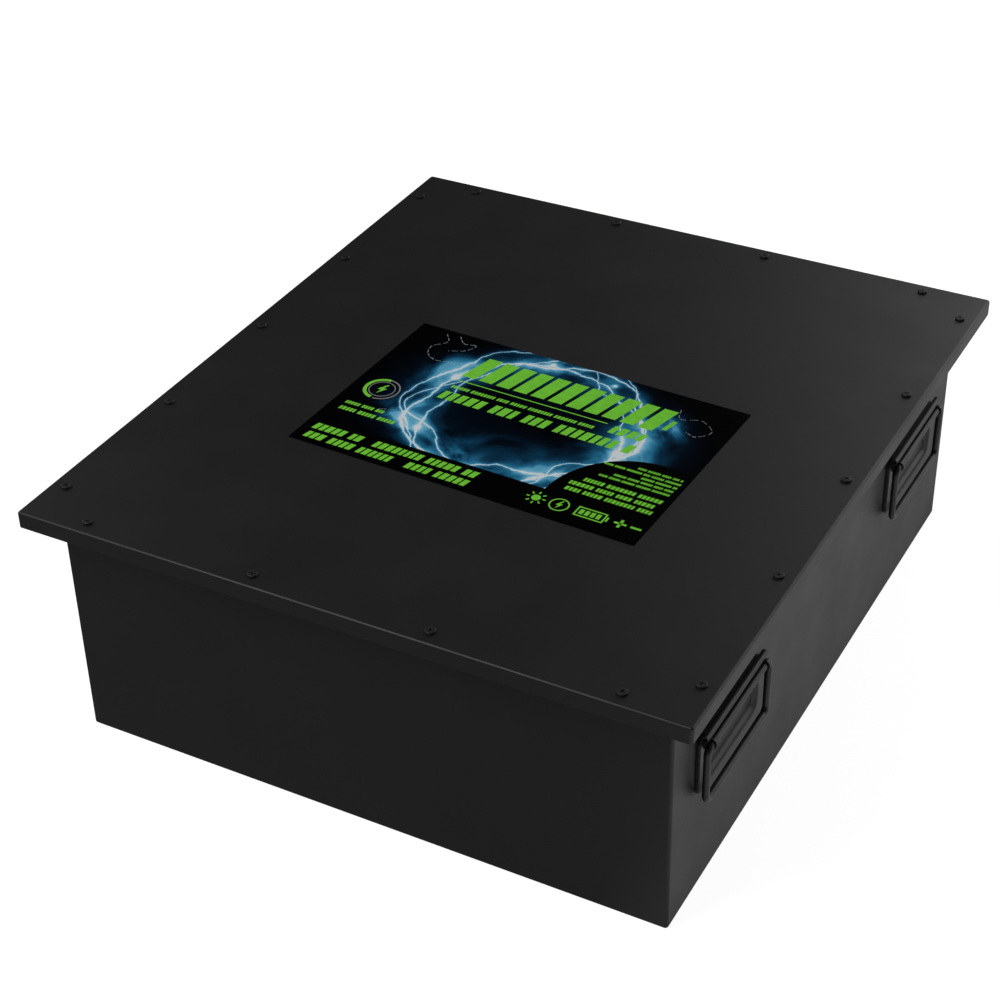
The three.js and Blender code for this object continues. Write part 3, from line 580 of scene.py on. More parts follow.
def rod(radius, low, high):
    """Profile of a plain cylinder."""
    return [(0, low), (radius, low), (radius, high), (0, high)]


def hole_tools(radius, bottom, top):
    """Cylinders that bore a hole at every lid screw."""
    tools = bmesh.new()
    for _, centre in screw_places():
        lathe(tools, rod(radius, bottom, top), 20, Matrix.Translation((centre.x, centre.y, 0)))
    return tools


LID_HOLE = 3.3 * MM
SEAL_HOLE = 3.8 * MM
# Radius of the hole in the rear wall for each fitting.
FITTING_HOLES = {
    "positive_socket": 21.6 * MM,
    "negative_socket": 21.6 * MM,
    "comms_socket": 10.6 * MM,
    "vent_valve": 9.4 * MM,
    "earth_stud": 4.6 * MM,
}


def build_tub():
    """Folded tub in one skin: outside, flange, then back down the inside."""
    top = tub_high.z
    under = top - SHEET
    bend = 3 * MM
    tight = 1 * MM
    rim = 0.4 * MM
    profile = arc(bend, bend, bend, -QUARTER, -2 * QUARTER, 6)
    profile += arc(-tight, under - tight, tight, 0, QUARTER, 4)
    edge = -FLANGE_REACH
    profile += arc(edge + rim, under + rim, rim, -QUARTER, -2 * QUARTER, 3)
    profile += arc(edge + rim, top - rim, rim, 2 * QUARTER, QUARTER, 3)
    profile += arc(-tight, top - bend, bend, QUARTER, 0, 6)
    profile += arc(SHEET + tight, SHEET + tight, tight, 2 * QUARTER, 3 * QUARTER, 4)
    bm = bmesh.new()
    skin(bm, [pan_ring(wall_x, wall_y, inset, z) for inset, z in profile])
    tools = hole_tools(LID_HOLE, under - 2 * MM, top + 2 * MM)
    for name, radius in FITTING_HOLES.items():
        centre = middle_of(name)
        here = Matrix.Translation((centre.x, wall_y, centre.z)) @ ALONG_Y
        lathe(tools, rod(radius, -12 * MM, 12 * MM), 32, here)
    add_piece("tub_shell", carved(mesh_of(bm, "tub_shell"), tools), BOX_COAT, "tub")


def build_collars():
    """Threaded collars pressed into the flange from below, one under each lid screw."""
    bm = bmesh.new()
    top = tub_high.z - SHEET
    section = [(3, 0), (5.5, 0), (5.5, -5.4), (4.9, -6), (3, -6)]
    profile = [(radius * MM, top + z * MM) for radius, z in section]
    for _, centre in screw_places():
        lathe(bm, profile, 24, Matrix.Translation((centre.x, centre.y, 0)), closed=True)
    add_piece("flange_collars", bm, BOX_COAT)


def build_seal():
    """Flat sealing strip stuck under the lid, over the flange."""
    width = FLANGE_REACH - 3 * MM
    soft = 0.7 * MM
    low, high = seal_low.z, seal_high.z
    profile = arc(soft, low + soft, soft, -QUARTER, -2 * QUARTER, 3)
    profile += arc(soft, high - soft, soft, 2 * QUARTER, QUARTER, 3)
    profile += arc(width - soft, high - soft, soft, QUARTER, 0, 3)
    profile += arc(width - soft, low + soft, soft, 0, -QUARTER, 3)
    rings = [at_height(rounded(seal_high.x - inset, seal_high.y - inset, CORNER), z) for inset, z in profile]
    bm = bmesh.new()
    skin(bm, rings, loop=True)
    mesh = carved(mesh_of(bm, "lid_seal"), hole_tools(SEAL_HOLE, low - SHEET, high + SHEET))
    add_piece("lid_seal", mesh, FOAM, "lid_gasket", body=LID_BODY)


def build_lid():
    """Pan lid: flat top, rolled edge, skirt, and the inside of the fold."""
    top = lid_high.z
    bottom = lid_low.z
    bend = 3 * MM
    rim = 0.4 * MM
    profile = arc(bend, top - bend, bend, QUARTER, 2 * QUARTER, 10)
    profile += arc(rim, bottom + rim, rim, 2 * QUARTER, 3 * QUARTER, 3)
    profile += arc(SHEET - rim, bottom + rim, rim, 3 * QUARTER, 4 * QUARTER, 3)
    profile += arc(bend, top - bend, bend - SHEET, 2 * QUARTER, QUARTER, 4)
    bm = bmesh.new()
    skin(bm, [pan_ring(lid_high.x, lid_high.y, inset, z) for inset, z in profile])
    mesh = carved(mesh_of(bm, "lid_pan"), hole_tools(LID_HOLE, top - 2 * SHEET, top + SHEET))
    add_piece("lid_pan", mesh, BOX_COAT, "lid", body=LID_BODY)


# ---- Screws ----

def pan_screw(name, head, height, shank, length):
    """Pan head screw with a cross recess. The underside of its head lies at Z = 0."""
    bm = bmesh.new()
    round_off = 0.34 * height
    crown = arc(head - round_off, height - round_off - 0.15 * MM, round_off, 0, QUARTER, 6) + [(0, height)]
    pitch = 1 * MM
    thread = []
    z = -length
    while z < -pitch:
        thread += [(shank * 0.84, z), (shank, z + pitch / 2)]
        z += pitch
    lathe(bm, [(0, -length)] + thread + [(shank, 0), (head - 0.3 * MM, 0), (head, 0.3 * MM)] + crown, 28)
    tools = bmesh.new()
    arm = 0.56 * head
    width = 0.105 * head
    for i in range(2):
        spin = spun((i + 1 / 3) * QUARTER, "Z")
        slot = [(arm, width), (-arm, width), (-arm, -width), (arm, -width)]
        rings = [[spin @ Vector((x * grow, y * grow, z)) for x, y in slot]
                 for grow, z in ((0.62, height * 0.42), (1, height * 0.86), (1, height + MM))]
        skin(tools, rings)
    return carved(mesh_of(bm, name), tools)


# How far the lid screws' seat lies below the top of the CAD screw, and the heights of the heads.
LID_SCREW_SEAT = 3.4 * MM
LID_SCREW_HEAD = 2.7 * MM
HANDLE_SCREW_HEAD = 3.2 * MM


def build_screws():
    """Every screw of the lid and the handles, each with its cross turned a different way."""
    lid_screw = pan_screw("lid_screw", 5.8 * MM, LID_SCREW_HEAD, 3 * MM, 12 * MM)
    for i, (name, centre) in enumerate(screw_places()):
        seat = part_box(name)[1].z - LID_SCREW_SEAT
        place = Matrix.Translation((centre.x, centre.y, seat)) @ spun(1.3 * i, "Z")
        add_piece(name + "_fine", lid_screw, BLACK_OXIDE, name, place, LID_BODY)
    handle_screw = pan_screw("handle_screw", 5 * MM, HANDLE_SCREW_HEAD, 2.5 * MM, 9 * MM)
    for i, (end_side, side) in enumerate(HANDLES):
        for j, letter in enumerate("ab"):
            name = f"handle_screw_{end_side}_{letter}"
            centre = middle_of(name)
            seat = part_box(name)[side > 0].x - side * HANDLE_SCREW_HEAD
            place = Matrix.Translation((seat, centre.y, centre.z)) @ spun(side * QUARTER, "Y")
            add_piece(name + "_fine", handle_screw, BLACK_OXIDE, name, place @ spun(0.9 * i + 1.7 * j, "Z"))


# ---- Label ----

PRINT_UNITS = 448
LABEL_WIDTH = 442 * MM
PRINT_SCALE = LABEL_WIDTH / PRINT_UNITS
LABEL_LENGTH = 293 * MM
LABEL_TURN = math.radians(-2.3)
INK_STEP = 0.03 * MM


class Print:
    """Flat printed shapes: x from the left edge and y down from the top edge, in PRINT_SCALE units."""

    def __init__(self, level):
        self.bm = bmesh.new()
        self.low = label_high.z - 0.15 * MM
        self.high = label_high.z - 0.10 * MM + level * INK_STEP

    def point(self, x, y):
        """A place on the print in metres from the label's centre."""
        return (x * PRINT_SCALE - LABEL_WIDTH / 2, LABEL_LENGTH / 2 - y * PRINT_SCALE)

    def shape(self, points):
        outline = [self.point(*point) for point in points]
        skin(self.bm, [at_height(outline, z) for z in (self.low, self.high)])

    def band(self, outer, inner):
        lines = [[self.point(*point) for point in points] for points in (outer, inner)]
        frame_prism(self.bm, *lines, self.low, self.high)

    def block(self, x, y, width, height, slant=0.0):
        """An upright bar whose top leans to the right."""
        lean = slant * height
        self.shape([(x + lean, y), (x + lean + width, y), (x + width, y + height), (x, y + height)])

    def disc(self, x, y, radius, sides=32):
        self.shape(arc(x, y, radius, 0, 2 * math.pi, sides)[:-1])

    def ring(self, outer, inner, x, y, start=0.0, end=2 * math.pi):
        """A ring, or a part of one where it does not go all the way round."""
        far, near = (arc(x, y, radius, start, end, 40) for radius in (outer, inner))
        if end - start > 6.28:
            self.band(far[:-1], near[:-1])
        else:
            self.shape(far + near[::-1])

    def words(self, rng, left, right, y, height, slant=0.12):
        """A line of greeked words: plain blocks in groups."""
        x = left
        while x < right - 0.6 * height:
            for _ in range(rng.randint(3, 8)):
                width = height * rng.uniform(0.40, 0.62)
                if x + width > right:
                    break
                self.block(x, y, width, height, slant)
                x += width + 0.17 * height
            x += 0.45 * height

    def bolt(self, x, y, size):
        zigzag = ((0.15, -1), (-0.5, 0.15), (-0.05, 0.15), (-0.2, 1), (0.5, -0.25), (0.05, -0.25), (0.35, -1))
        self.shape([(x + dx * size, y + dy * size) for dx, dy in zigzag])


EMBLEM = (39, 158)
PICTOGRAM_LINE = 268
HEADING_BARS = 11
HEADING_WIDTH = 261


def print_green():
    """The green ink: charge bars as a heading, greeked lines, an emblem and small pictograms."""
    art = Print(2)
    rng = random.Random(12)
    pitch = HEADING_WIDTH / HEADING_BARS
    for i in range(HEADING_BARS):
        art.block(106 + i * pitch, 36, pitch - 5.5, 50, slant=0.22)
    art.block(370, 56, 6, 22, slant=0.22)
    art.block(106, 96, 204, 1.6)
    for line in ((108, 300, 109, 6), (318, 368, 97, 16), (105, 366, 124, 18)):
        art.words(rng, *line, slant=0.2)
    art.ring(23, 18.5, *EMBLEM, start=0.55 * math.pi, end=1.5 * math.pi)
    art.bolt(*EMBLEM, 11)
    art.words(rng, 16, 70, 198, 6)
    art.words(rng, 16, 92, 211, 7)
    for left, right, top in ((12.5, 82, 256), (95, 237, 256), (13, 134, 275), (150, 234, 275)):
        art.words(rng, left, right, top, 12.5, slant=0.2)
    for first, pitch, height, widths in ((160.5, 8, 4, (57, 95, 45, 75, 90)), (207, 12, 7, (100, 112, 111))):
        for i, width in enumerate(widths):
            art.words(rng, 441 - width, 441, first + pitch * i, height)
    pictograms(art)
    return art.bm


def pictograms(art):
    """Sun, bolt, battery, plus and minus along the lower right."""
    art.disc(312, PICTOGRAM_LINE, 5.5)
    for i in range(8):
        c, s = math.cos(i * QUARTER / 2), math.sin(i * QUARTER / 2)
        ray = [(8, -1), (12, -1), (12, 1), (8, 1)]
        art.shape([(312 + c * x - s * y, PICTOGRAM_LINE + s * x + c * y) for x, y in ray])
    art.ring(12, 10.2, 341, PICTOGRAM_LINE)
    art.bolt(341, PICTOGRAM_LINE, 8)
    case = [[(362 + gap, 259 + gap), (398 - gap, 259 + gap), (398 - gap, 277 - gap), (362 + gap, 277 - gap)]
            for gap in (0, 2)]
    art.band(*case)
    art.block(399, 264, 2.5, 8)
    for i in range(4):
        art.block(366.5 + 7 * i, 263.5, 5, 9)
    art.block(409, 266.3, 15, 3.4)
    art.block(414.8, 260.5, 3.4, 15)
    art.block(429, 266.3, 13, 3.4)


def print_black():
    """The black ink: the band along the bottom edge and the rounded field at the lower right."""
    art = Print(1)
    corner = 1.5
    art.shape([(0.5, 248), (312, 248), (312, 293.5), (0.5 + corner, 293.5), (0.5, 293.5 - corner)])
    start, end = math.pi, math.acos(39 / 97)
    turns = [start - (start - end) * i / 24 for i in range(25)]
    swell = [(409 + 97 * math.cos(t), 246 - 101 * math.sin(t)) for t in turns]
    art.shape([(312, 293.5)] + swell + [(447.5, 293.5 - corner), (447.5 - corner, 293.5)])
    return art.bm


def print_grey():
    """The grey ink: the other half of the emblem and its inner ring."""
    art = Print(2)
    art.ring(22.5, 20.5, *EMBLEM, start=-0.5 * math.pi, end=0.5 * math.pi)
    art.ring(16.5, 15.2, *EMBLEM)
    return art.bm


def print_white():
    """Loose trails of small dots round the glow, in short dashes."""
    art = Print(2)
    trails = (
        [(40, 10), (50, 26), (38, 44), (44, 62), (60, 70), (80, 66), (98, 74)],
        [(58, 8), (70, 20), (86, 18), (80, 34), (62, 44)],
        [(372, 30), (380, 48), (404, 40), (424, 56), (412, 74), (398, 70)],
        [(60, 196), (84, 190), (96, 204), (120, 198), (140, 210)],
    )
    for trail in trails:
        path = smooth_path([(x, y, 0) for x, y in trail], steps=14)
        for k, spot in enumerate(path):
            if k % 7 < 5:
                art.disc(spot.x, spot.y, 0.45, sides=8)
    return art.bm


def build_label():
    """The film stuck on the lid, with one thin piece of print for each ink."""
    centre = middle_of("lid_label")
    place = Matrix.Translation((centre.x, centre.y, 0)) @ spun(LABEL_TURN, "Z")
    soft = 0.1 * MM
    low, high = label_low.z, label_high.z - 0.1 * MM
    rings = []
    for inset, z in ((soft, low), (0, low + soft), (0, high - soft), (soft, high)):
        rings.append(at_height(rounded(LABEL_WIDTH / 2 - inset, LABEL_LENGTH / 2 - inset, SHEET), z))
    bm = bmesh.new()
    skin(bm, rings)
    add_piece("label_film", bm, FILM, "lid_label", place, LID_BODY)
    inks = (("green", print_green, INK_GREEN), ("black", print_black, INK_BLACK),
            ("grey", print_grey, INK_GREY), ("white", print_white, INK_WHITE))
    for name, draw, finish in inks:
        add_piece(f"label_ink_{name}", draw(), finish, None, place, LID_BODY)


# ---- Handles, each in its own frame: X along the wall, Y up and Z out, from the hinge on the wall ----

HINGE_OUT = 12 * MM
ROD = 4 * MM
PLATE_TOP = 8.7 * MM
PLATE_HEIGHT = 79 * MM
PLATE_HALF_WIDTH = 80.5 * MM
PLATE_CORNER = 12 * MM
BAIL_HALF_WIDTH = 80.75 * MM
BAIL_HEIGHT = 71 * MM
CURL_OUT = 7.7 * MM
CURL_HALF = 79 * MM
EAR_OFFSET = 70 * MM
EAR_RADIUS = 6.2 * MM


def plate_outline(inset):
    """The plate's outline, moved in by inset."""
    half = PLATE_HALF_WIDTH - inset
    top = PLATE_TOP - inset
    bottom = PLATE_TOP - PLATE_HEIGHT + inset
    radius = max(PLATE_CORNER - inset, 3.5 * MM)
    return filleted([
        (half, top, radius), (-half, top, radius), (-half, bottom, radius), (half, bottom, radius),
    ], steps=8)


def pressed_plate():
    """Wall plate pressed from sheet: a rounded rim, then a soft slope down to a sunk panel."""
    back = 0.3 * MM
    crown = 4.3 * MM
    panel = 0.7 * MM
    round_off = 1.3 * MM
    profile = [(0, back)] + arc(round_off, crown - round_off, round_off, 2 * QUARTER, QUARTER, 5)
    slope_start = 9.5 * MM
    slope_width = 6.5 * MM
    for i in range(9):
        share = i / 8
        fall = share * share * (3 - 2 * share)
        profile.append((slope_start + slope_width * share, crown + (panel - crown) * fall))
    bm = bmesh.new()
    skin(bm, [at_height(plate_outline(inset), p) for inset, p in profile])
    return mesh_of(bm, "handle_plate")


def plate_curl():
    """The plate's top edge, rolled outward into an open curl just above the bail's hinge bar."""
    outer = arc(CURL_OUT, PLATE_TOP, ROD, 2.1 * QUARTER, -1.2 * QUARTER, 24)
    inner = arc(CURL_OUT, PLATE_TOP, ROD - 1.4 * MM, -1.2 * QUARTER, 2.1 * QUARTER, 24)
    rings = []
    centre = Vector((CURL_OUT, PLATE_TOP))
    for x, size in ((-1, 0.94), (-0.996, 1), (0.996, 1), (1, 0.94)):
        section = [centre + (Vector(point) - centre) * size for point in outer + inner]
        rings.append([Vector((x * CURL_HALF, up, out)) for out, up in section])
    bm = bmesh.new()
    skin(bm, rings)
    return mesh_of(bm, "plate_curl")


def hinge_ear(side):
    """Ear round the bail's hinge bar on a neck that grows out of the plate."""
    bm = bmesh.new()
    thickness = 3 * MM
    root = 1 * MM
    outline = arc(HINGE_OUT, 0, EAR_RADIUS, -QUARTER, 4 / 3 * QUARTER, 16)
    outline += [(root, EAR_RADIUS), (root, -12 * MM)]
    bore = ROD + 0.35 * MM
    inner = []
    for x, y in outline:
        turn = math.atan2(y, x - HINGE_OUT)
        inner.append((HINGE_OUT + bore * math.cos(turn), bore * math.sin(turn)))
    middle = side * EAR_OFFSET
    rows = []
    for line, u in ((outline, -1), (outline, 1), (inner, 1), (inner, -1)):
        rows.append([Vector((middle + u * thickness / 2, y, x)) for x, y in line])
    skin(bm, rows, loop=True)
    return mesh_of(bm, "hinge_ear")


def bail_loop():
    """Closed loop of round rod with four even bends."""
    outline = rounded(BAIL_HALF_WIDTH, BAIL_HEIGHT / 2, 9 * MM, steps=10)
    bm = bmesh.new()
    tube(bm, [(x, y - BAIL_HEIGHT / 2, HINGE_OUT) for x, y in outline], ROD, sides=24, loop=True)
    return mesh_of(bm, "bail_rod")


def build_handles():
    """Four handles: on the box a plate with its curl and two ears, on its own hinge the bail."""
    plate = pressed_plate()
    fixed = (("curl", plate_curl()), ("ear_a", hinge_ear(-1)), ("ear_b", hinge_ear(1)))
    loop = bail_loop()
    for name, side in HANDLES:
        hinge = Vector(BAIL_JOINTS[f"bail_{name}"]["pos_m"])
        basis = Matrix(((0, 0, side), (side, 0, 0), (0, 1, 0))).to_4x4()
        place = Matrix.Translation((side * wall_x, hinge.y, hinge.z)) @ basis
        add_piece(f"plate_{name}_pressing", plate, ENAMEL, f"handle_plate_{name}", place)
        for part, mesh in fixed:
            add_piece(f"plate_{name}_{part}", mesh, ENAMEL, place=place)
        add_piece(f"bail_{name}_rod", loop, ENAMEL, f"handle_bail_{name}", place, f"bail_{name}")


# ---- Inside of the tub, in millimetres ----

def mm_box(name):
    """The low corner, high corner and middle of a CAD node's box, in millimetres."""
    low, high = (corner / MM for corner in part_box(name))
    return low, high, (low + high) / 2


def spot(x, y, z, rotation=Matrix()):
    """A placement at a point given in millimetres."""
    return Matrix.Translation(Vector((x, y, z)) * MM) @ rotation


def slab(bm, x, y, width, length, low, high, edge):
    """A soft-edged block round a centre line in plan."""
    near = Vector((x - width / 2, y - length / 2, low)) * MM
    far = Vector((x + width / 2, y + length / 2, high)) * MM
    soft_box(bm, near, far, edge * MM)


def layers(bm, half_x, half_y, corner, profile, place):
    """A block with round corners, built up from loops that are each (inset, height)."""
    rings = []
    for inset, z in profile:
        outline = rounded(half_x - inset, half_y - inset, max(corner - inset, 0.3), steps=4)
        rings.append([place @ (Vector((x, y, z)) * MM) for x, y in outline])
    skin(bm, rings)


def turned(bm, profile, place, sides=24, closed=False):
    """A lathed shape with its profile in millimetres."""
    lathe(bm, [(radius * MM, z * MM) for radius, z in profile], sides, place, closed)


def soft_disc(radius, low, high, edge=0.4):
    """Profile of a round plate whose upper rim is rounded off."""
    rim = arc(radius - edge, high - edge, edge, 0, QUARTER, 3)
    return [(0, low), (radius, low)] + rim + [(0, high)]


def bevelled(radius, low, high, bevel, edge):
    """Profile of a nut or a bolt head whose upper rim is cut back by bevel, over a height of edge."""
    return [(0, low), (radius, low), (radius, high - edge), (radius - bevel, high), (0, high)]


def hex_bolt(bm, place, size, washer=True):
    """Hexagon bolt head on a spring washer and a flat washer. Size is the thread's diameter."""
    base = 0
    if washer:
        turned(bm, soft_disc(size, 0, 0.2 * size, 0.2), place)
        turned(bm, soft_disc(0.82 * size, 0.18 * size, 0.42 * size, 0.2), place)
        base = 0.4 * size
    across = 0.93 * size
    turned(bm, bevelled(across, base, base + 0.64 * size, 0.18 * across, 0.09 * size), place, 6)


def strap(bm, x, width, thickness, corners, bend):
    """Flat bar folded along corners given as (y, z), every fold rounded."""
    run = [(y * MM, z * MM) for y, z in corners]
    path = [Vector(point) for point in filleted_run(run, bend * MM)]
    left, right = (x - width / 2) * MM, (x + width / 2) * MM
    rings = []
    for i, point in enumerate(path):
        ahead = (path[min(i + 1, len(path) - 1)] - path[max(i - 1, 0)]).normalized()
        across = Vector((-ahead.y, ahead.x)) * thickness * MM / 2
        low, high = point - across, point + across
        section = ((left, low), (right, low), (right, high), (left, high))
        rings.append([Vector((edge, *side)) for edge, side in section])
    skin(bm, rings)


def scaled(points):
    """Points in millimetres as places in metres."""
    return [Vector(point) * MM for point in points]


def wire(bm, points, radius, slot):
    """A thin wire along a smooth path through points in millimetres."""
    tube(bm, smooth_path(scaled(points), steps=6), radius * MM, 8, slot=slot)


# Cells and the bars on them: pitch along a row, rows, terminals either side of a row's middle,
# the two outer lines of links, and the sense circuit's distance from the middle of the pack.
CELL_PITCH = 54
CELL_LID = 3
CELL_YS = [(i - 7) * CELL_PITCH for i in range(15)]
ROW_XS = [-265.5, -88.5, 88.5, 265.5]
TERMINAL_OUT = 55
LINK_LENGTH = 82
BAR_WIDTH = 30
COLLECTOR_XS = (33.5, 320.5)
SENSE_LINE = 66


def build_floor_sheet():
    """Laminate sheet on the tub's floor, under the cells."""
    low, high, _ = mm_box("floor_sheet")
    bm = bmesh.new()
    slab(bm, 0, 0, high.x - low.x, high.y - low.y, low.z, high.z, 0.3)
    add_piece("floor_laminate", bm, LAMINATE_SHEET, "floor_sheet")


def build_end_plates():
    """Cast pressure plates: a skin with posts and cross ribs on its outer face."""
    for name, end in (("end_plate_front", -1), ("end_plate_rear", 1)):
        low, high, middle = mm_box(name)
        inner = low.y if end > 0 else high.y
        width = high.x - low.x
        bm = bmesh.new()
        slab(bm, 0, inner + end * 2.5, width, 5, low.z, high.z, 0.8)
        for z in (low.z, low.z + 92, low.z + 184):
            slab(bm, 0, middle.y, width, 12, z, min(z + 14, high.z), 1.2)
        for x, post_width in ((-346.5, 12), (-177, 24), (0, 24), (177, 24), (346.5, 12)):
            slab(bm, x, middle.y + end * 0.1, post_width, 12, low.z, high.z, 1.2)
        add_piece(name + "_cast", bm, ALUMINIUM, name)


def build_cells():
    """Rows of prismatic cans in shrink film, with lids, burst vents, filler plugs and terminals."""
    low, high, _ = mm_box("cell_row_1")
    top = high.z - CELL_LID
    cans, lids, gaskets = blanks(3)
    can = [(1, low.z), (0.3, low.z + 0.3), (0, low.z + 1), (0, top - 1.2), (0.4, top - 0.5), (1.6, top - 0.3)]
    for y in CELL_YS:
        here = spot(0, y, 0)
        layers(cans, 86.9, 26.3, 3.5, can, here)
        layers(lids, 84.6, 24, 2.5, [(0, top - 0.6), (0, top - 0.3), (0.3, top)], here)
        vent = [rounded((12 - inset) * MM, (7.5 - inset) * MM, (7.3 - inset) * MM) for inset in (0, 1.5)]
        frame_prism(lids, *vent, (top - 0.1) * MM, (top + 0.5) * MM, here)
        turned(lids, soft_disc(3, top - 0.1, top + 0.8), spot(26, y, 0), 16)
        for side in (-1, 1):
            pole = spot(side * TERMINAL_OUT, y, 0)
            layers(gaskets, 17, 15, 3, [(0, top - 0.2), (0, top + 0.5), (0.4, top + 0.9)], pole)
            layers(lids, 12, 12, 1.5, [(0, top + 0.6), (0, top + 2.5), (0.5, high.z)], pole)
    cans = mesh_of(cans, "cell_cans")
    lids = mesh_of(lids, "cell_lids")
    gaskets = mesh_of(gaskets, "cell_gaskets")
    for row, x in enumerate(ROW_XS, 1):
        here = spot(x, 0, 0)
        add_piece(f"cells_{row}_cans", cans, WRAP, f"cell_row_{row}", here)
        add_piece(f"cells_{row}_lids", lids, ALUMINIUM, place=here)
        add_piece(f"cells_{row}_gaskets", gaskets, CARRIER, place=here)


def bar_places():
    """Centre and plan size of every busbar, and whether it lies lapped over others."""
    bars = []
    for i, y in enumerate(CELL_YS[:-1]):
        middle = y + CELL_PITCH / 2
        for side in (-1, 1):
            if i % 2:
                bars.append((side * 177, middle, 97, LINK_LENGTH, False))
            else:
                bars += [(side * x, middle, BAR_WIDTH, LINK_LENGTH, False) for x in COLLECTOR_XS]
    bars.append((0, CELL_YS[0], 451, BAR_WIDTH, True))
    bars += [(side * 177, CELL_YS[-1], 317, BAR_WIDTH, True) for side in (-1, 1)]
    return bars


def build_carrier():
    """Insulating sheet with barrier ribs, the busbars on it with expansion folds, and their welds."""
    low, high, _ = mm_box("busbar_carrier")
    sheet_top = low.z + 2
    sheet, bars, welds, flex = blanks(4)
    slab(sheet, 0, 0, high.x - low.x, high.y - low.y, low.z, sheet_top, 0.4)
    rib_end = shelf_low.y / MM - 6
    rib_start = low.y + 8
    for x in (-265.5, -105, 0, 105, 265.5):
        first = CELL_YS[0] + 20 if abs(x) < 200 else rib_start
        slab(sheet, x, (first + rib_end) / 2, 1.6, rib_end - first, sheet_top - 0.5, sheet_top + 5, 0.3)
    bead = [(5.6, -0.1), (5.8, 0.22), (6.9, 0.22), (7.1, -0.1)]
    for x, y, width, length, lapped in bar_places():
        lift = 0.6 if lapped else 0
        slab(bars, x, y, width, length, sheet_top - 0.4 + lift, high.z + lift, 0.5)
        if lapped:
            continue
        fold = [(x + side * (width / 2 - 0.4), y, high.z) for side in (-1, 1)]
        tube(bars, scaled(fold), 3.2 * MM, 20)
        for weld_x in (x - 33.5, x + 33.5) if width > BAR_WIDTH else (x,):
            for weld_y in (y - CELL_PITCH / 2, y + CELL_PITCH / 2):
                if CELL_YS[0] < weld_y < CELL_YS[-1]:
                    turned(welds, bead, spot(weld_x, weld_y, high.z), 28, closed=True)
    middle_y, run = (rib_start + rib_end) / 2, rib_end - rib_start
    for side in (-1, 1):
        slab(flex, side * SENSE_LINE, middle_y, 14, run, sheet_top - 0.1, sheet_top + 0.4, 0.1)
        for y in [y + CELL_PITCH / 2 + 16 for y in CELL_YS[:-1] if y < rib_end - 60]:
            for edge, tab in ((47, 45), (131, 133)):
                middle = side * (SENSE_LINE + edge) / 2
                length = abs(edge - SENSE_LINE)
                slab(flex, middle, y, length, 4, sheet_top - 0.1, sheet_top + 0.36, 0.1)
                slab(welds, side * tab, y, 7, 6, sheet_top, high.z + 0.4, 0.15)
    add_piece("carrier_sheet", sheet, CARRIER, "busbar_carrier")
    add_piece("carrier_busbars", bars, COPPER)
    add_piece("carrier_welds", welds, NICKEL)
    add_piece("carrier_flex", flex, ORANGE_CABLE)


def build_shelf():
    """Moulded tray on legs, with bolts through its corners."""
    low, high, middle = mm_box("electronics_shelf")
    plate_low, plate_high = high.z - 10, high.z - 7
    y = middle.y
    tray, bolts = blanks(2)
    half_x, half_y = high.x, (high.y - low.y) / 2
    here = spot(0, y, 0)
    layers(tray, half_x - 1, half_y - 1, 3, [(0, plate_low), (0, plate_high)], here)
    rim = [(0, plate_low), (0, high.z - 0.6), (0.6, high.z), (2.4, high.z), (3, high.z - 0.6), (3, plate_low)]
    loops = []
    for inset, z in rim:
        outline = rounded(half_x - inset, half_y - inset, 4 - inset)
        loops.append([here @ (Vector((*point, z)) * MM) for point in outline])
    skin(tray, loops, loop=True)
    for x in (-180, 60, 168, 245):
        slab(tray, x, y, 3, 2 * half_y - 4, plate_high - 0.5, plate_high + 0.25, 0.1)
    for x in ROW_XS:
        for side in (-1, 1):
            leg_y = y + side * (half_y - 16)
            layers(tray, 8, 8, 2, [(0, low.z - 3), (-1, plate_low + 0.5)], spot(x, leg_y, 0))
            hex_bolt(bolts, spot(x, leg_y, plate_high), 4.5)
    add_piece("shelf_tray", tray, SHELF, "electronics_shelf")
    add_piece("shelf_bolts", bolts, NICKEL)


def build_management_unit():
    """Die-cast case with cooling ribs, a base flange with screws and a row of plug headers."""
    low, high, middle = mm_box("management_unit")
    x, y = middle.x, middle.y
    case, plugs, screws, wires = blanks(4)
    layers(case, 64, 75, 5, [(0, low.z), (0, low.z + 4), (1, low.z + 5)], spot(x, y, 0))
    layers(case, 59, 64, 5, [(0, low.z + 4.5), (0.8, high.z - 4.5), (2.2, high.z - 3.2)], spot(x, y, 0))
    for i in range(13):
        slab(case, x - 48 + 8 * i, y + 6, 2.2, 100, high.z - 3.5, high.z, 0.7)
    for sx, sy in CORNERS:
        hex_bolt(screws, spot(x + sx * 56, y + sy * 69.5, low.z + 5), 3.6)
    rng = random.Random(5)
    front = y - 64
    socket = [(0, low.z + 5.2), (0, low.z + 19), (0.6, low.z + 19.6)]
    for i in range(4):
        header_x = x + (i - 1.5) * 28
        layers(plugs, 11, 7, 1.2, socket, spot(header_x, front, 0))
        slab(plugs, header_x, front - 8, 18, 7, low.z + 8, low.z + 17, 0.8)
        for k in range(5):
            wire_x = header_x - 7 + 3.5 * k
            wire(wires, [
                (wire_x, front - 10, low.z + 12.5),
                (wire_x, front - 15, low.z + 12),
                (wire_x + rng.uniform(-2, 2), shelf_low.y / MM - 4, high.z - 24),
                (-SENSE_LINE + 3 * (wire_x - x) / 28, shelf_low.y / MM - 20, 216.2 + 0.2 * k),
            ], 0.8, slot=k % 3)
    add_piece("manager_case", case, ALUMINIUM, "management_unit")
    add_piece("manager_plugs", plugs, CERAMIC)
    add_piece("manager_screws", screws, NICKEL)
    add_piece("manager_wires", wires, [ORANGE_CABLE, BLACK_CABLE, CERAMIC])


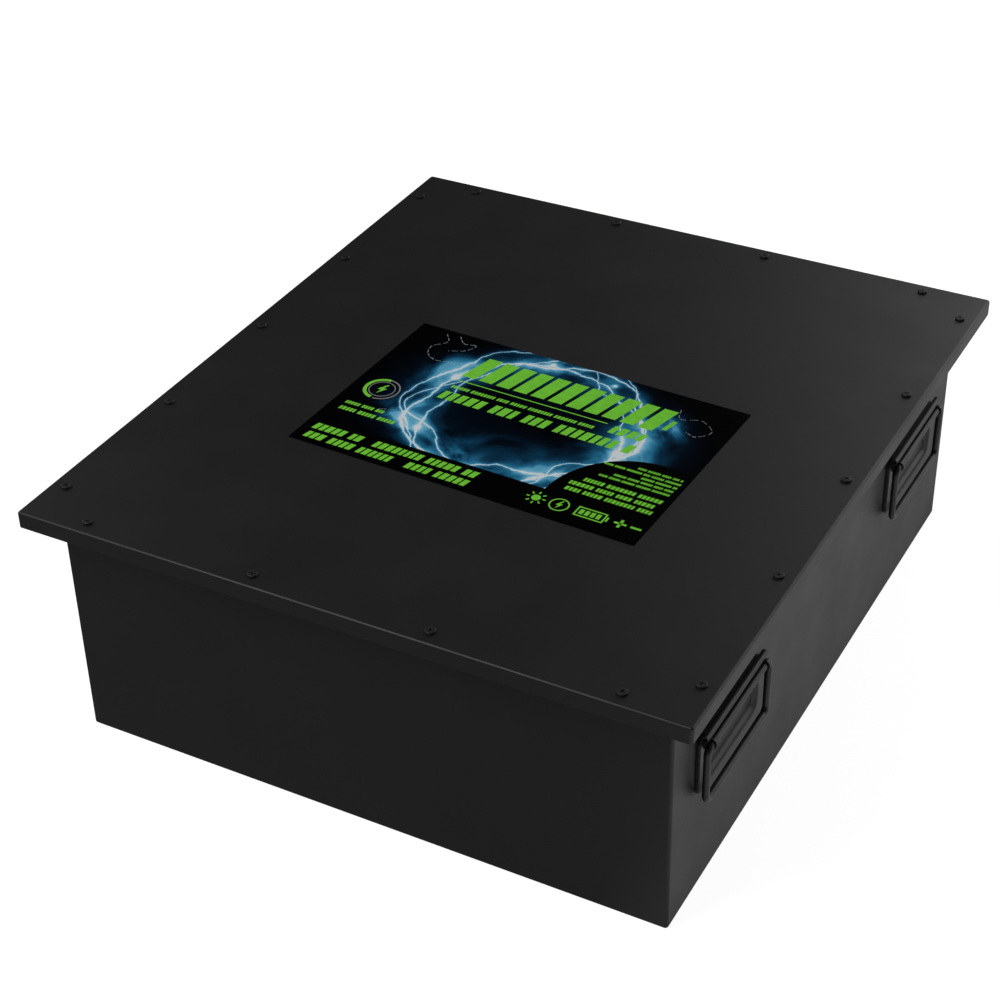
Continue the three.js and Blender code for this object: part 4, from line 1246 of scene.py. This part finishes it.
def build_fuse():
    """Ceramic cartridge with pressed end caps, rivets and slotted blades."""
    low, _, middle = mm_box("main_fuse")
    axis = spot(middle.x, middle.y, low.z + 18.5)
    barrel, metalwork = blanks(2)
    turned(barrel, rod(17, -27, 27), axis @ spun(QUARTER, "Y"), 40)
    for side in (-1, 1):
        cap = [(0, 18), (18.5, 18)] + arc(17, 27.5, 1.5, 0, QUARTER, 4) + [(0, 29)]
        turned(metalwork, cap, axis @ spun(side * QUARTER, "Y"), 40)
        for k in range(4):
            rivet = axis @ spot(side * 22, 0, 0, spun((k + 0.5) * QUARTER, "X")) @ spot(0, 0, 18.3)
            turned(metalwork, soft_disc(1.6, 0, 0.5, 0.3), rivet, 12)
        slab(metalwork, middle.x + side * 38, middle.y, 20.5, 24, low.z + 17, low.z + 20, 0.5)
    add_piece("fuse_barrel", barrel, CERAMIC, "main_fuse")
    add_piece("fuse_ends", metalwork, NICKEL)


def build_contactor():
    """Potted contactor: ribbed body, mounting feet, two copper bars and a coil plug."""
    low, high, middle = mm_box("contactor")
    x, y = middle.x, chain_y
    body, bars, screws, wires = blanks(4)
    layers(body, 30, 38, 4, [(0, low.z), (0, low.z + 3.4), (0.6, low.z + 4)], spot(x, y, 0))
    layers(body, 26, 30, 5, [(0, low.z + 3.5), (0.6, high.z - 2), (2, high.z)], spot(x, y, 0))
    slab(body, x, y, 2.4, 52, high.z - 6, high.z + 1.4, 0.5)
    for k in range(5):
        slab(body, x, y - 20 + 10 * k, 54, 1.6, low.z + 8, high.z - 9, 0.5)
    plug = [(0, 0), (9, 0), (9, 9), (7.4, 9.6), (7.4, 12), (0, 12)]
    turned(body, plug, spot(x, y - 28, low.z + 32, spun(QUARTER, "X")))
    for side in (-1, 1):
        slab(bars, x + side * 38, y, 26, 24, seat_z - 3, seat_z, 0.5)
        for end in (-1, 1):
            hex_bolt(screws, spot(x + side * 24, y + end * 34, low.z + 4), 3.4)
    for k, dx in enumerate((-2.5, 2.5)):
        wire(wires, [
            (x + dx, y - 38, low.z + 32),
            (x + dx, y - 50, low.z + 30),
            (x - 20 + dx, y - 70, low.z + 14),
            (x - 80, y - 95 + dx, low.z + 3),
            (40, y - 95 + dx, low.z + 3),
        ], 1.1, slot=k)
    add_piece("contactor_body", body, RELAY, "contactor")
    add_piece("contactor_bars", bars, COPPER)
    add_piece("contactor_screws", screws, NICKEL)
    add_piece("contactor_wires", wires, [ORANGE_CABLE, BLACK_CABLE])


def build_shunt():
    """Two brass end blocks with thin resistance strips soldered into them, on an insulating post."""
    low, high, middle = mm_box("current_shunt")
    x, y = middle.x, chain_y
    blocks, strips, post, screws = blanks(4)
    for side in (-1, 1):
        slab(blocks, x + side * 35, y, 34, 36, blade_z - 1.5, high.z, 0.8)
        hex_bolt(screws, spot(x + side * 22, y + 12, high.z), 3, washer=False)
    for dy in (-12, -4, 4, 12):
        slab(strips, x, y + dy, 44, 1.6, blade_z - 1, blade_z + 4.5, 0.3)
    slab(post, x, y, 30, 40, low.z, low.z + 4, 0.8)
    layers(post, 8, 15, 2, [(0, low.z + 3.6), (1, blade_z - 1.2)], spot(x, y, 0))
    add_piece("shunt_blocks", blocks, COPPER)
    add_piece("shunt_strips", strips, SHUNT_ALLOY, "current_shunt")
    add_piece("shunt_post", post, RELAY)
    add_piece("shunt_screws", screws, NICKEL)


# Thickness of the folded straps, and size of the bolts on them and along the chain.
BAR = 3
CHAIN_BOLT = 7


def build_risers():
    """Folded copper straps from the collectors up to the devices, and the bolts along the chain."""
    bolts = bmesh.new()
    bend_y = shelf_high.y / MM + 6
    for name in ("positive_riser", "negative_riser"):
        low, high, middle = mm_box(name)
        foot, head = low.z + 2.1, high.z - BAR / 2
        bm = bmesh.new()
        corners = [(high.y - BAR / 2, foot), (bend_y, foot), (bend_y, head), (low.y + BAR / 2, head)]
        strap(bm, middle.x, high.x - low.x, BAR, corners, BAR)
        add_piece(name + "_strap", bm, COPPER, name)
        hex_bolt(bolts, spot(middle.x, high.y - 10, foot + BAR / 2), CHAIN_BOLT)
    for x, seat in ((74, blade_z + 1.5), (160, seat_z), (-134, seat_z)):
        hex_bolt(bolts, spot(x, chain_y, seat), CHAIN_BOLT)
    add_piece("chain_bolts", bolts, NICKEL)


def build_power_cable(pole, finish, blade_x):
    """Heavy cable from a blade to its pole's socket, with crimped lugs and shrink sleeves over them."""
    socket_x = middle_of(pole + "_socket").x / MM
    eye_y = stud_end - 6.3
    z = seat_z + 9.7
    insulation, lugs, sleeves, bolts = blanks(4)
    run = smooth_path(scaled([
        (blade_x, chain_y + 14, z),
        (blade_x, chain_y + 25, z),
        ((blade_x + socket_x) / 2, chain_y + 55, z + 4),
        (socket_x, eye_y - 20.7, socket_z + 12),
        (socket_x, eye_y - 7, socket_z + 2),
    ]), steps=10)
    tube(insulation, run, 6.5 * MM, 24)
    for end in (run[:8], run[-9:]):
        tube(sleeves, end, 7.1 * MM, 24)
    slab(lugs, blade_x, chain_y - 1, 20, 28, seat_z + 0.3, seat_z + 3.3, 0.8)
    tube(lugs, scaled([(blade_x, chain_y + 6, z - 1.5), (blade_x, chain_y + 20, z)]), 5.6 * MM, 20)
    hex_bolt(bolts, spot(blade_x, chain_y - 3, seat_z + 3.3), CHAIN_BOLT)
    eye = spot(socket_x, eye_y, socket_z, spun(QUARTER, "X"))
    turned(lugs, soft_disc(9, -4, -0.6, 0.5), eye, 28)
    turned(bolts, bevelled(8, -0.6, 6.4, 1.2, 1), eye, 6)
    name = pole + "_cable"
    add_piece(name + "_insulation", insulation, finish, name)
    add_piece(name + "_sleeves", sleeves, BLACK_CABLE)
    add_piece(name + "_lugs", lugs, NICKEL)
    add_piece(name + "_bolts", bolts, NICKEL)


# ---- Rear wall fittings, each turned about an axis that points out of the rear wall ----

def wall_spot(name):
    """Placement on the rear wall's outer face, at a fitting's place, with Z pointing outward."""
    return spot(middle_of(name).x / MM, wall_y / MM + 0.3, socket_z, ALONG_Y)


def keys(bm, place, turns, low, high, edge, segments=2):
    """Blocks set round an axis, one at each turn."""
    for angle in turns:
        soft_box(bm, *scaled((low, high)), edge * MM, segments, place @ spun(angle, "Z"))


def build_power_socket(name, finish):
    """Single-pole socket: flange with four screws, ribbed coupling shell, touch-proof contact."""
    here = wall_spot(name)
    shell, contact, screws = blanks(3)
    layers(shell, 29, 29, 7, [(0.5, 0), (0, 0.5), (0, 3.3), (0.7, 4)], here)
    outer = [(21, 3.5), (21, 9), (20.2, 9.6), (20.2, 12), (21, 12.6), (21, 22.6), (20, 24), (18, 24)]
    inner = [(17, 23), (17, 6), (9.4, 6), (9.4, 20), (8.6, 20.6), (7.8, 20), (7.8, 5), (0, 5), (0, 3.5)]
    turned(shell, outer + inner, here, 48)
    keys(shell, here, [k * QUARTER / 6 for k in range(24)], (20.6, -1, 13.4), (21.7, 1, 22), 0.3)
    keys(shell, here, [(k / 3 * 4 + 0.5) * QUARTER for k in range(3)], (15, -2, 8), (17.4, 2, 22), 0.4)
    turned(shell, rod(20.8, -14, 0.2), here, 48)
    turned(contact, [(0, 4.8), (6, 4.8), (6, 17.6), (5, 19), (2, 19), (2, 16), (0, 16)], here, 32)
    thread = [(5 if k % 2 else 4.5, -24 + 0.75 * k) for k in range(14)]
    turned(contact, [(0, -24.3)] + thread + [(5, -13.8), (0, -13.8)], here, 20)
    for sx, sy in CORNERS:
        corner = here @ spot(sx * 22.5, sy * 22.5, 0)
        turned(screws, soft_disc(3.4, 3.8, 6, 0.8), corner, 20)
        turned(screws, rod(1.5, 5.8, 6.1), corner, 6)
    add_piece(name + "_shell", shell, finish, name)
    add_piece(name + "_contact", contact, NICKEL)
    add_piece(name + "_screws", screws, BLACK_OXIDE)


def build_comms_socket():
    """Multi-pole signal socket: threaded shell, insert and pins."""
    here = wall_spot("comms_socket")
    shell, insert, pins = blanks(3)
    layers(shell, 16, 16, 3, [(0.4, 0), (0, 0.4), (0, 2.5), (0.5, 3)], here)
    thread = [(10 if k % 2 else 9.6, 4 + 0.5 * k) for k in range(20)]
    mouth = [(9.7, 15), (9.2, 16), (8.6, 16), (8.4, 15.4), (8.4, 2.8)]
    turned(shell, [(9.9, 2.8)] + thread + mouth, here, 40, closed=True)
    turned(insert, rod(8.5, 2, 7.5), here, 32)
    turned(insert, rod(9.6, -13.8, 0.2), here, 32)
    for count, radius in ((1, 0), (5, 3), (10, 6)):
        for k in range(count):
            angle = 2 * math.pi * k / count
            pin = here @ spot(radius * math.cos(angle), radius * math.sin(angle), 0)
            turned(pins, bevelled(0.6, 7, 12.6, 0.4, 0.6), pin, 10)
    for sx, sy in CORNERS:
        turned(pins, soft_disc(1.9, 2.8, 4.4, 0.6), here @ spot(sx * 12.4, sy * 12.4, 0), 16)
    add_piece("comms_shell", shell, NICKEL, "comms_socket")
    add_piece("comms_insert", insert, BLACK_SOCKET)
    add_piece("comms_pins", pins, NICKEL)


def build_vent():
    """Pressure relief vent: hexagon flange, ribbed cap over a membrane, nut inside the wall."""
    here = wall_spot("vent_valve")
    bm = bmesh.new()
    turned(bm, bevelled(14, 0, 7, 1.4, 1), here, 6)
    cap = [(0, 6.8), (8.4, 6.8), (8.4, 9.5), (11, 9.5)] + arc(10, 11, 1, 0, QUARTER, 4) + [(0, 12)]
    turned(bm, cap, here, 36)
    keys(bm, here, [k * QUARTER / 2 for k in range(8)], (8, -0.9, 6.8), (10.6, 0.9, 9.8), 0.2, 1)
    turned(bm, rod(8.6, -12, 0.2), here, 28)
    turned(bm, rod(12.5, -8.3, -2.6), here, 6)
    add_piece("vent_body", bm, BLACK_SOCKET, "vent_valve")


def build_earth_stud():
    """Threaded earth stud with washers and nuts on both sides of the wall."""
    here = wall_spot("earth_stud")
    bm = bmesh.new()
    thread = [(4 if k % 2 else 3.6, -9.5 + 0.6 * k) for k in range(48)]
    turned(bm, [(0, -10)] + thread + [(3.2, 20), (0, 20)], here, 20)
    turned(bm, soft_disc(9.5, 0, 1.8, 0.3), here, 32)
    turned(bm, [(0, 1.7), (6.8, 1.7), (7.5, 2.2), (7.5, 7.5), (6.8, 8), (0, 8)], here, 6)
    turned(bm, rod(7.5, -9, -2.6), here, 6)
    add_piece("earth_stud_plated", bm, NICKEL, "earth_stud")


def build_weld_nuts():
    """Hexagon nuts welded inside the side walls behind the handle screws."""
    bm = bmesh.new()
    nut = [(2.6, -0.2), (6, -0.2), (6, 3.4), (5.2, 4), (2.6, 4)]
    for end_side, side in HANDLES:
        for letter in "ab":
            centre = mm_box(f"handle_screw_{end_side}_{letter}")[2]
            inward = spun(-side * QUARTER, "Y")
            here = spot(side * (wall_x / MM - 2), centre.y, centre.z, inward)
            turned(bm, nut, here, 6, closed=True)
    add_piece("weld_nuts", bm, NICKEL)


# ---- Stage, lights and camera ----

def seen_or_not(tree, seen, unseen):
    """A number that is one value for what the camera sees and another for every other ray."""
    path = tree.nodes.new("ShaderNodeLightPath")
    switch = tree.nodes.new("ShaderNodeMix")
    tree.links.new(path.outputs["Is Camera Ray"], switch.inputs["Factor"])
    for socket, value in ((switch.inputs["A"], unseen), (switch.inputs["B"], seen)):
        if isinstance(value, bpy.types.NodeSocket):
            tree.links.new(value, socket)
        else:
            socket.default_value = value
    return switch.outputs["Result"]


WHITE = (1, 1, 1, 1)
# How strongly the floor glows in reflections, left and right, and the X places between which it changes.
FLOOR_GLOW = (0.19, 0.55)
FLOOR_GLOW_LINE = (0.28, 0.47)
FLOOR_REACH = 30


def build_floor():
    """Plain pale floor, white to the camera, a dimmer sheet in reflections that brightens to the right."""
    bm = bmesh.new()
    outline = [(FLOOR_REACH * sx, FLOOR_REACH * sy) for sx, sy in ((1, 1), (-1, 1), (-1, -1), (1, -1))]
    skin(bm, [at_height(outline, z) for z in (-0.02, 0)])
    mesh = mesh_of(bm, "studio_floor")
    floor = new_object("studio_floor", mesh)
    finish = Finish("pale_floor", roughness=0.9, specular=0.0)
    start, end = FLOOR_GLOW_LINE
    sideways = finish.spread(finish.split()[0], *FLOOR_GLOW, start=start, end=end)
    finish.feed(finish.shader, {
        "Emission Strength": seen_or_not(finish.tree, 0.92, sideways),
        "Emission Color": WHITE,
        "Base Color": seen_or_not(finish.tree, 0.38, 0.02),
    })
    mesh.materials.append(finish.material)


def build_world():
    """White behind everything the camera sees, a dim even surround for the light itself."""
    world = bpy.data.worlds.new("studio")
    bpy.context.scene.world = world
    world.use_nodes = True
    tree = world.node_tree
    background = tree.nodes["Background"]
    background.inputs["Color"].default_value = WHITE
    tree.links.new(seen_or_not(tree, 1.0, 0.06), background.inputs["Strength"])


# Softboxes: place, width and height in metres, power in watts.
SOFTBOXES = {
    "back_right_softbox": ((1.42, 2.68, 1.5), 4.4, 2.8, 49),
    "back_left_softbox": ((-2.95, 0.5, 1.5), 2.0, 1.6, 10),
    "front_top_softbox": ((-1.1, -1.7, 2.6), 1.6, 1.6, 40),
}


def build_lights():
    """Softboxes that the camera does not see, aimed at the middle of the lid."""
    for name, (place, width, height, power) in SOFTBOXES.items():
        lamp = bpy.data.lights.new(name, "AREA")
        lamp.shape = "RECTANGLE"
        lamp.size = width
        lamp.size_y = height
        lamp.energy = power
        holder = new_object(name, lamp)
        holder.location = place
        holder.rotation_mode = "QUATERNION"
        aim = Vector((0, 0, lid_high.z)) - Vector(place)
        holder.rotation_quaternion = aim.to_track_quat("-Z", "Y")
        holder.visible_camera = False


CAMERA_AZIMUTH = math.radians(28.7175)
CAMERA_ELEVATION = math.radians(34.5617)
CAMERA_ROLL = math.radians(1.2645)
CAMERA_AIM = (0.0594, -0.2030)
CAMERA_DISTANCE = 2.3387
CAMERA_LENS = 77.553
CAMERA_SENSOR = 36


def build_camera():
    """Camera that looks at a point on the lid, from in front and to the right."""
    level = math.cos(CAMERA_ELEVATION)
    sideways, forward = math.sin(CAMERA_AZIMUTH) * level, math.cos(CAMERA_AZIMUTH) * level
    back = Vector((sideways, -forward, math.sin(CAMERA_ELEVATION)))
    right = (-back).cross(Vector((0, 0, 1))).normalized()
    rolled = Matrix.Rotation(-CAMERA_ROLL, 3, back) @ right
    data = bpy.data.cameras.new("camera")
    data.lens = CAMERA_LENS
    data.sensor_width = CAMERA_SENSOR
    camera = new_object("camera", data)
    rotation = Matrix((rolled, back.cross(rolled), back)).transposed().to_4x4()
    aim = Vector((*CAMERA_AIM, lid_high.z))
    camera.matrix_world = Matrix.Translation(aim + back * CAMERA_DISTANCE) @ rotation
    bpy.context.scene.camera = camera


build_tub()
build_collars()
build_seal()
build_lid()
build_screws()
build_label()
build_handles()
build_floor_sheet()
build_end_plates()
build_cells()
build_carrier()
build_shelf()
build_management_unit()
build_fuse()
build_contactor()
build_shunt()
build_risers()
build_power_cable("positive", ORANGE_CABLE, 250)
build_power_cable("negative", BLACK_CABLE, -214)
build_power_socket("positive_socket", ORANGE_SOCKET)
build_power_socket("negative_socket", BLACK_SOCKET)
build_comms_socket()
build_vent()
build_earth_stud()
build_weld_nuts()

build_floor()
build_world()
build_lights()
build_camera()
bpy.context.scene.view_settings.view_transform = "Standard"
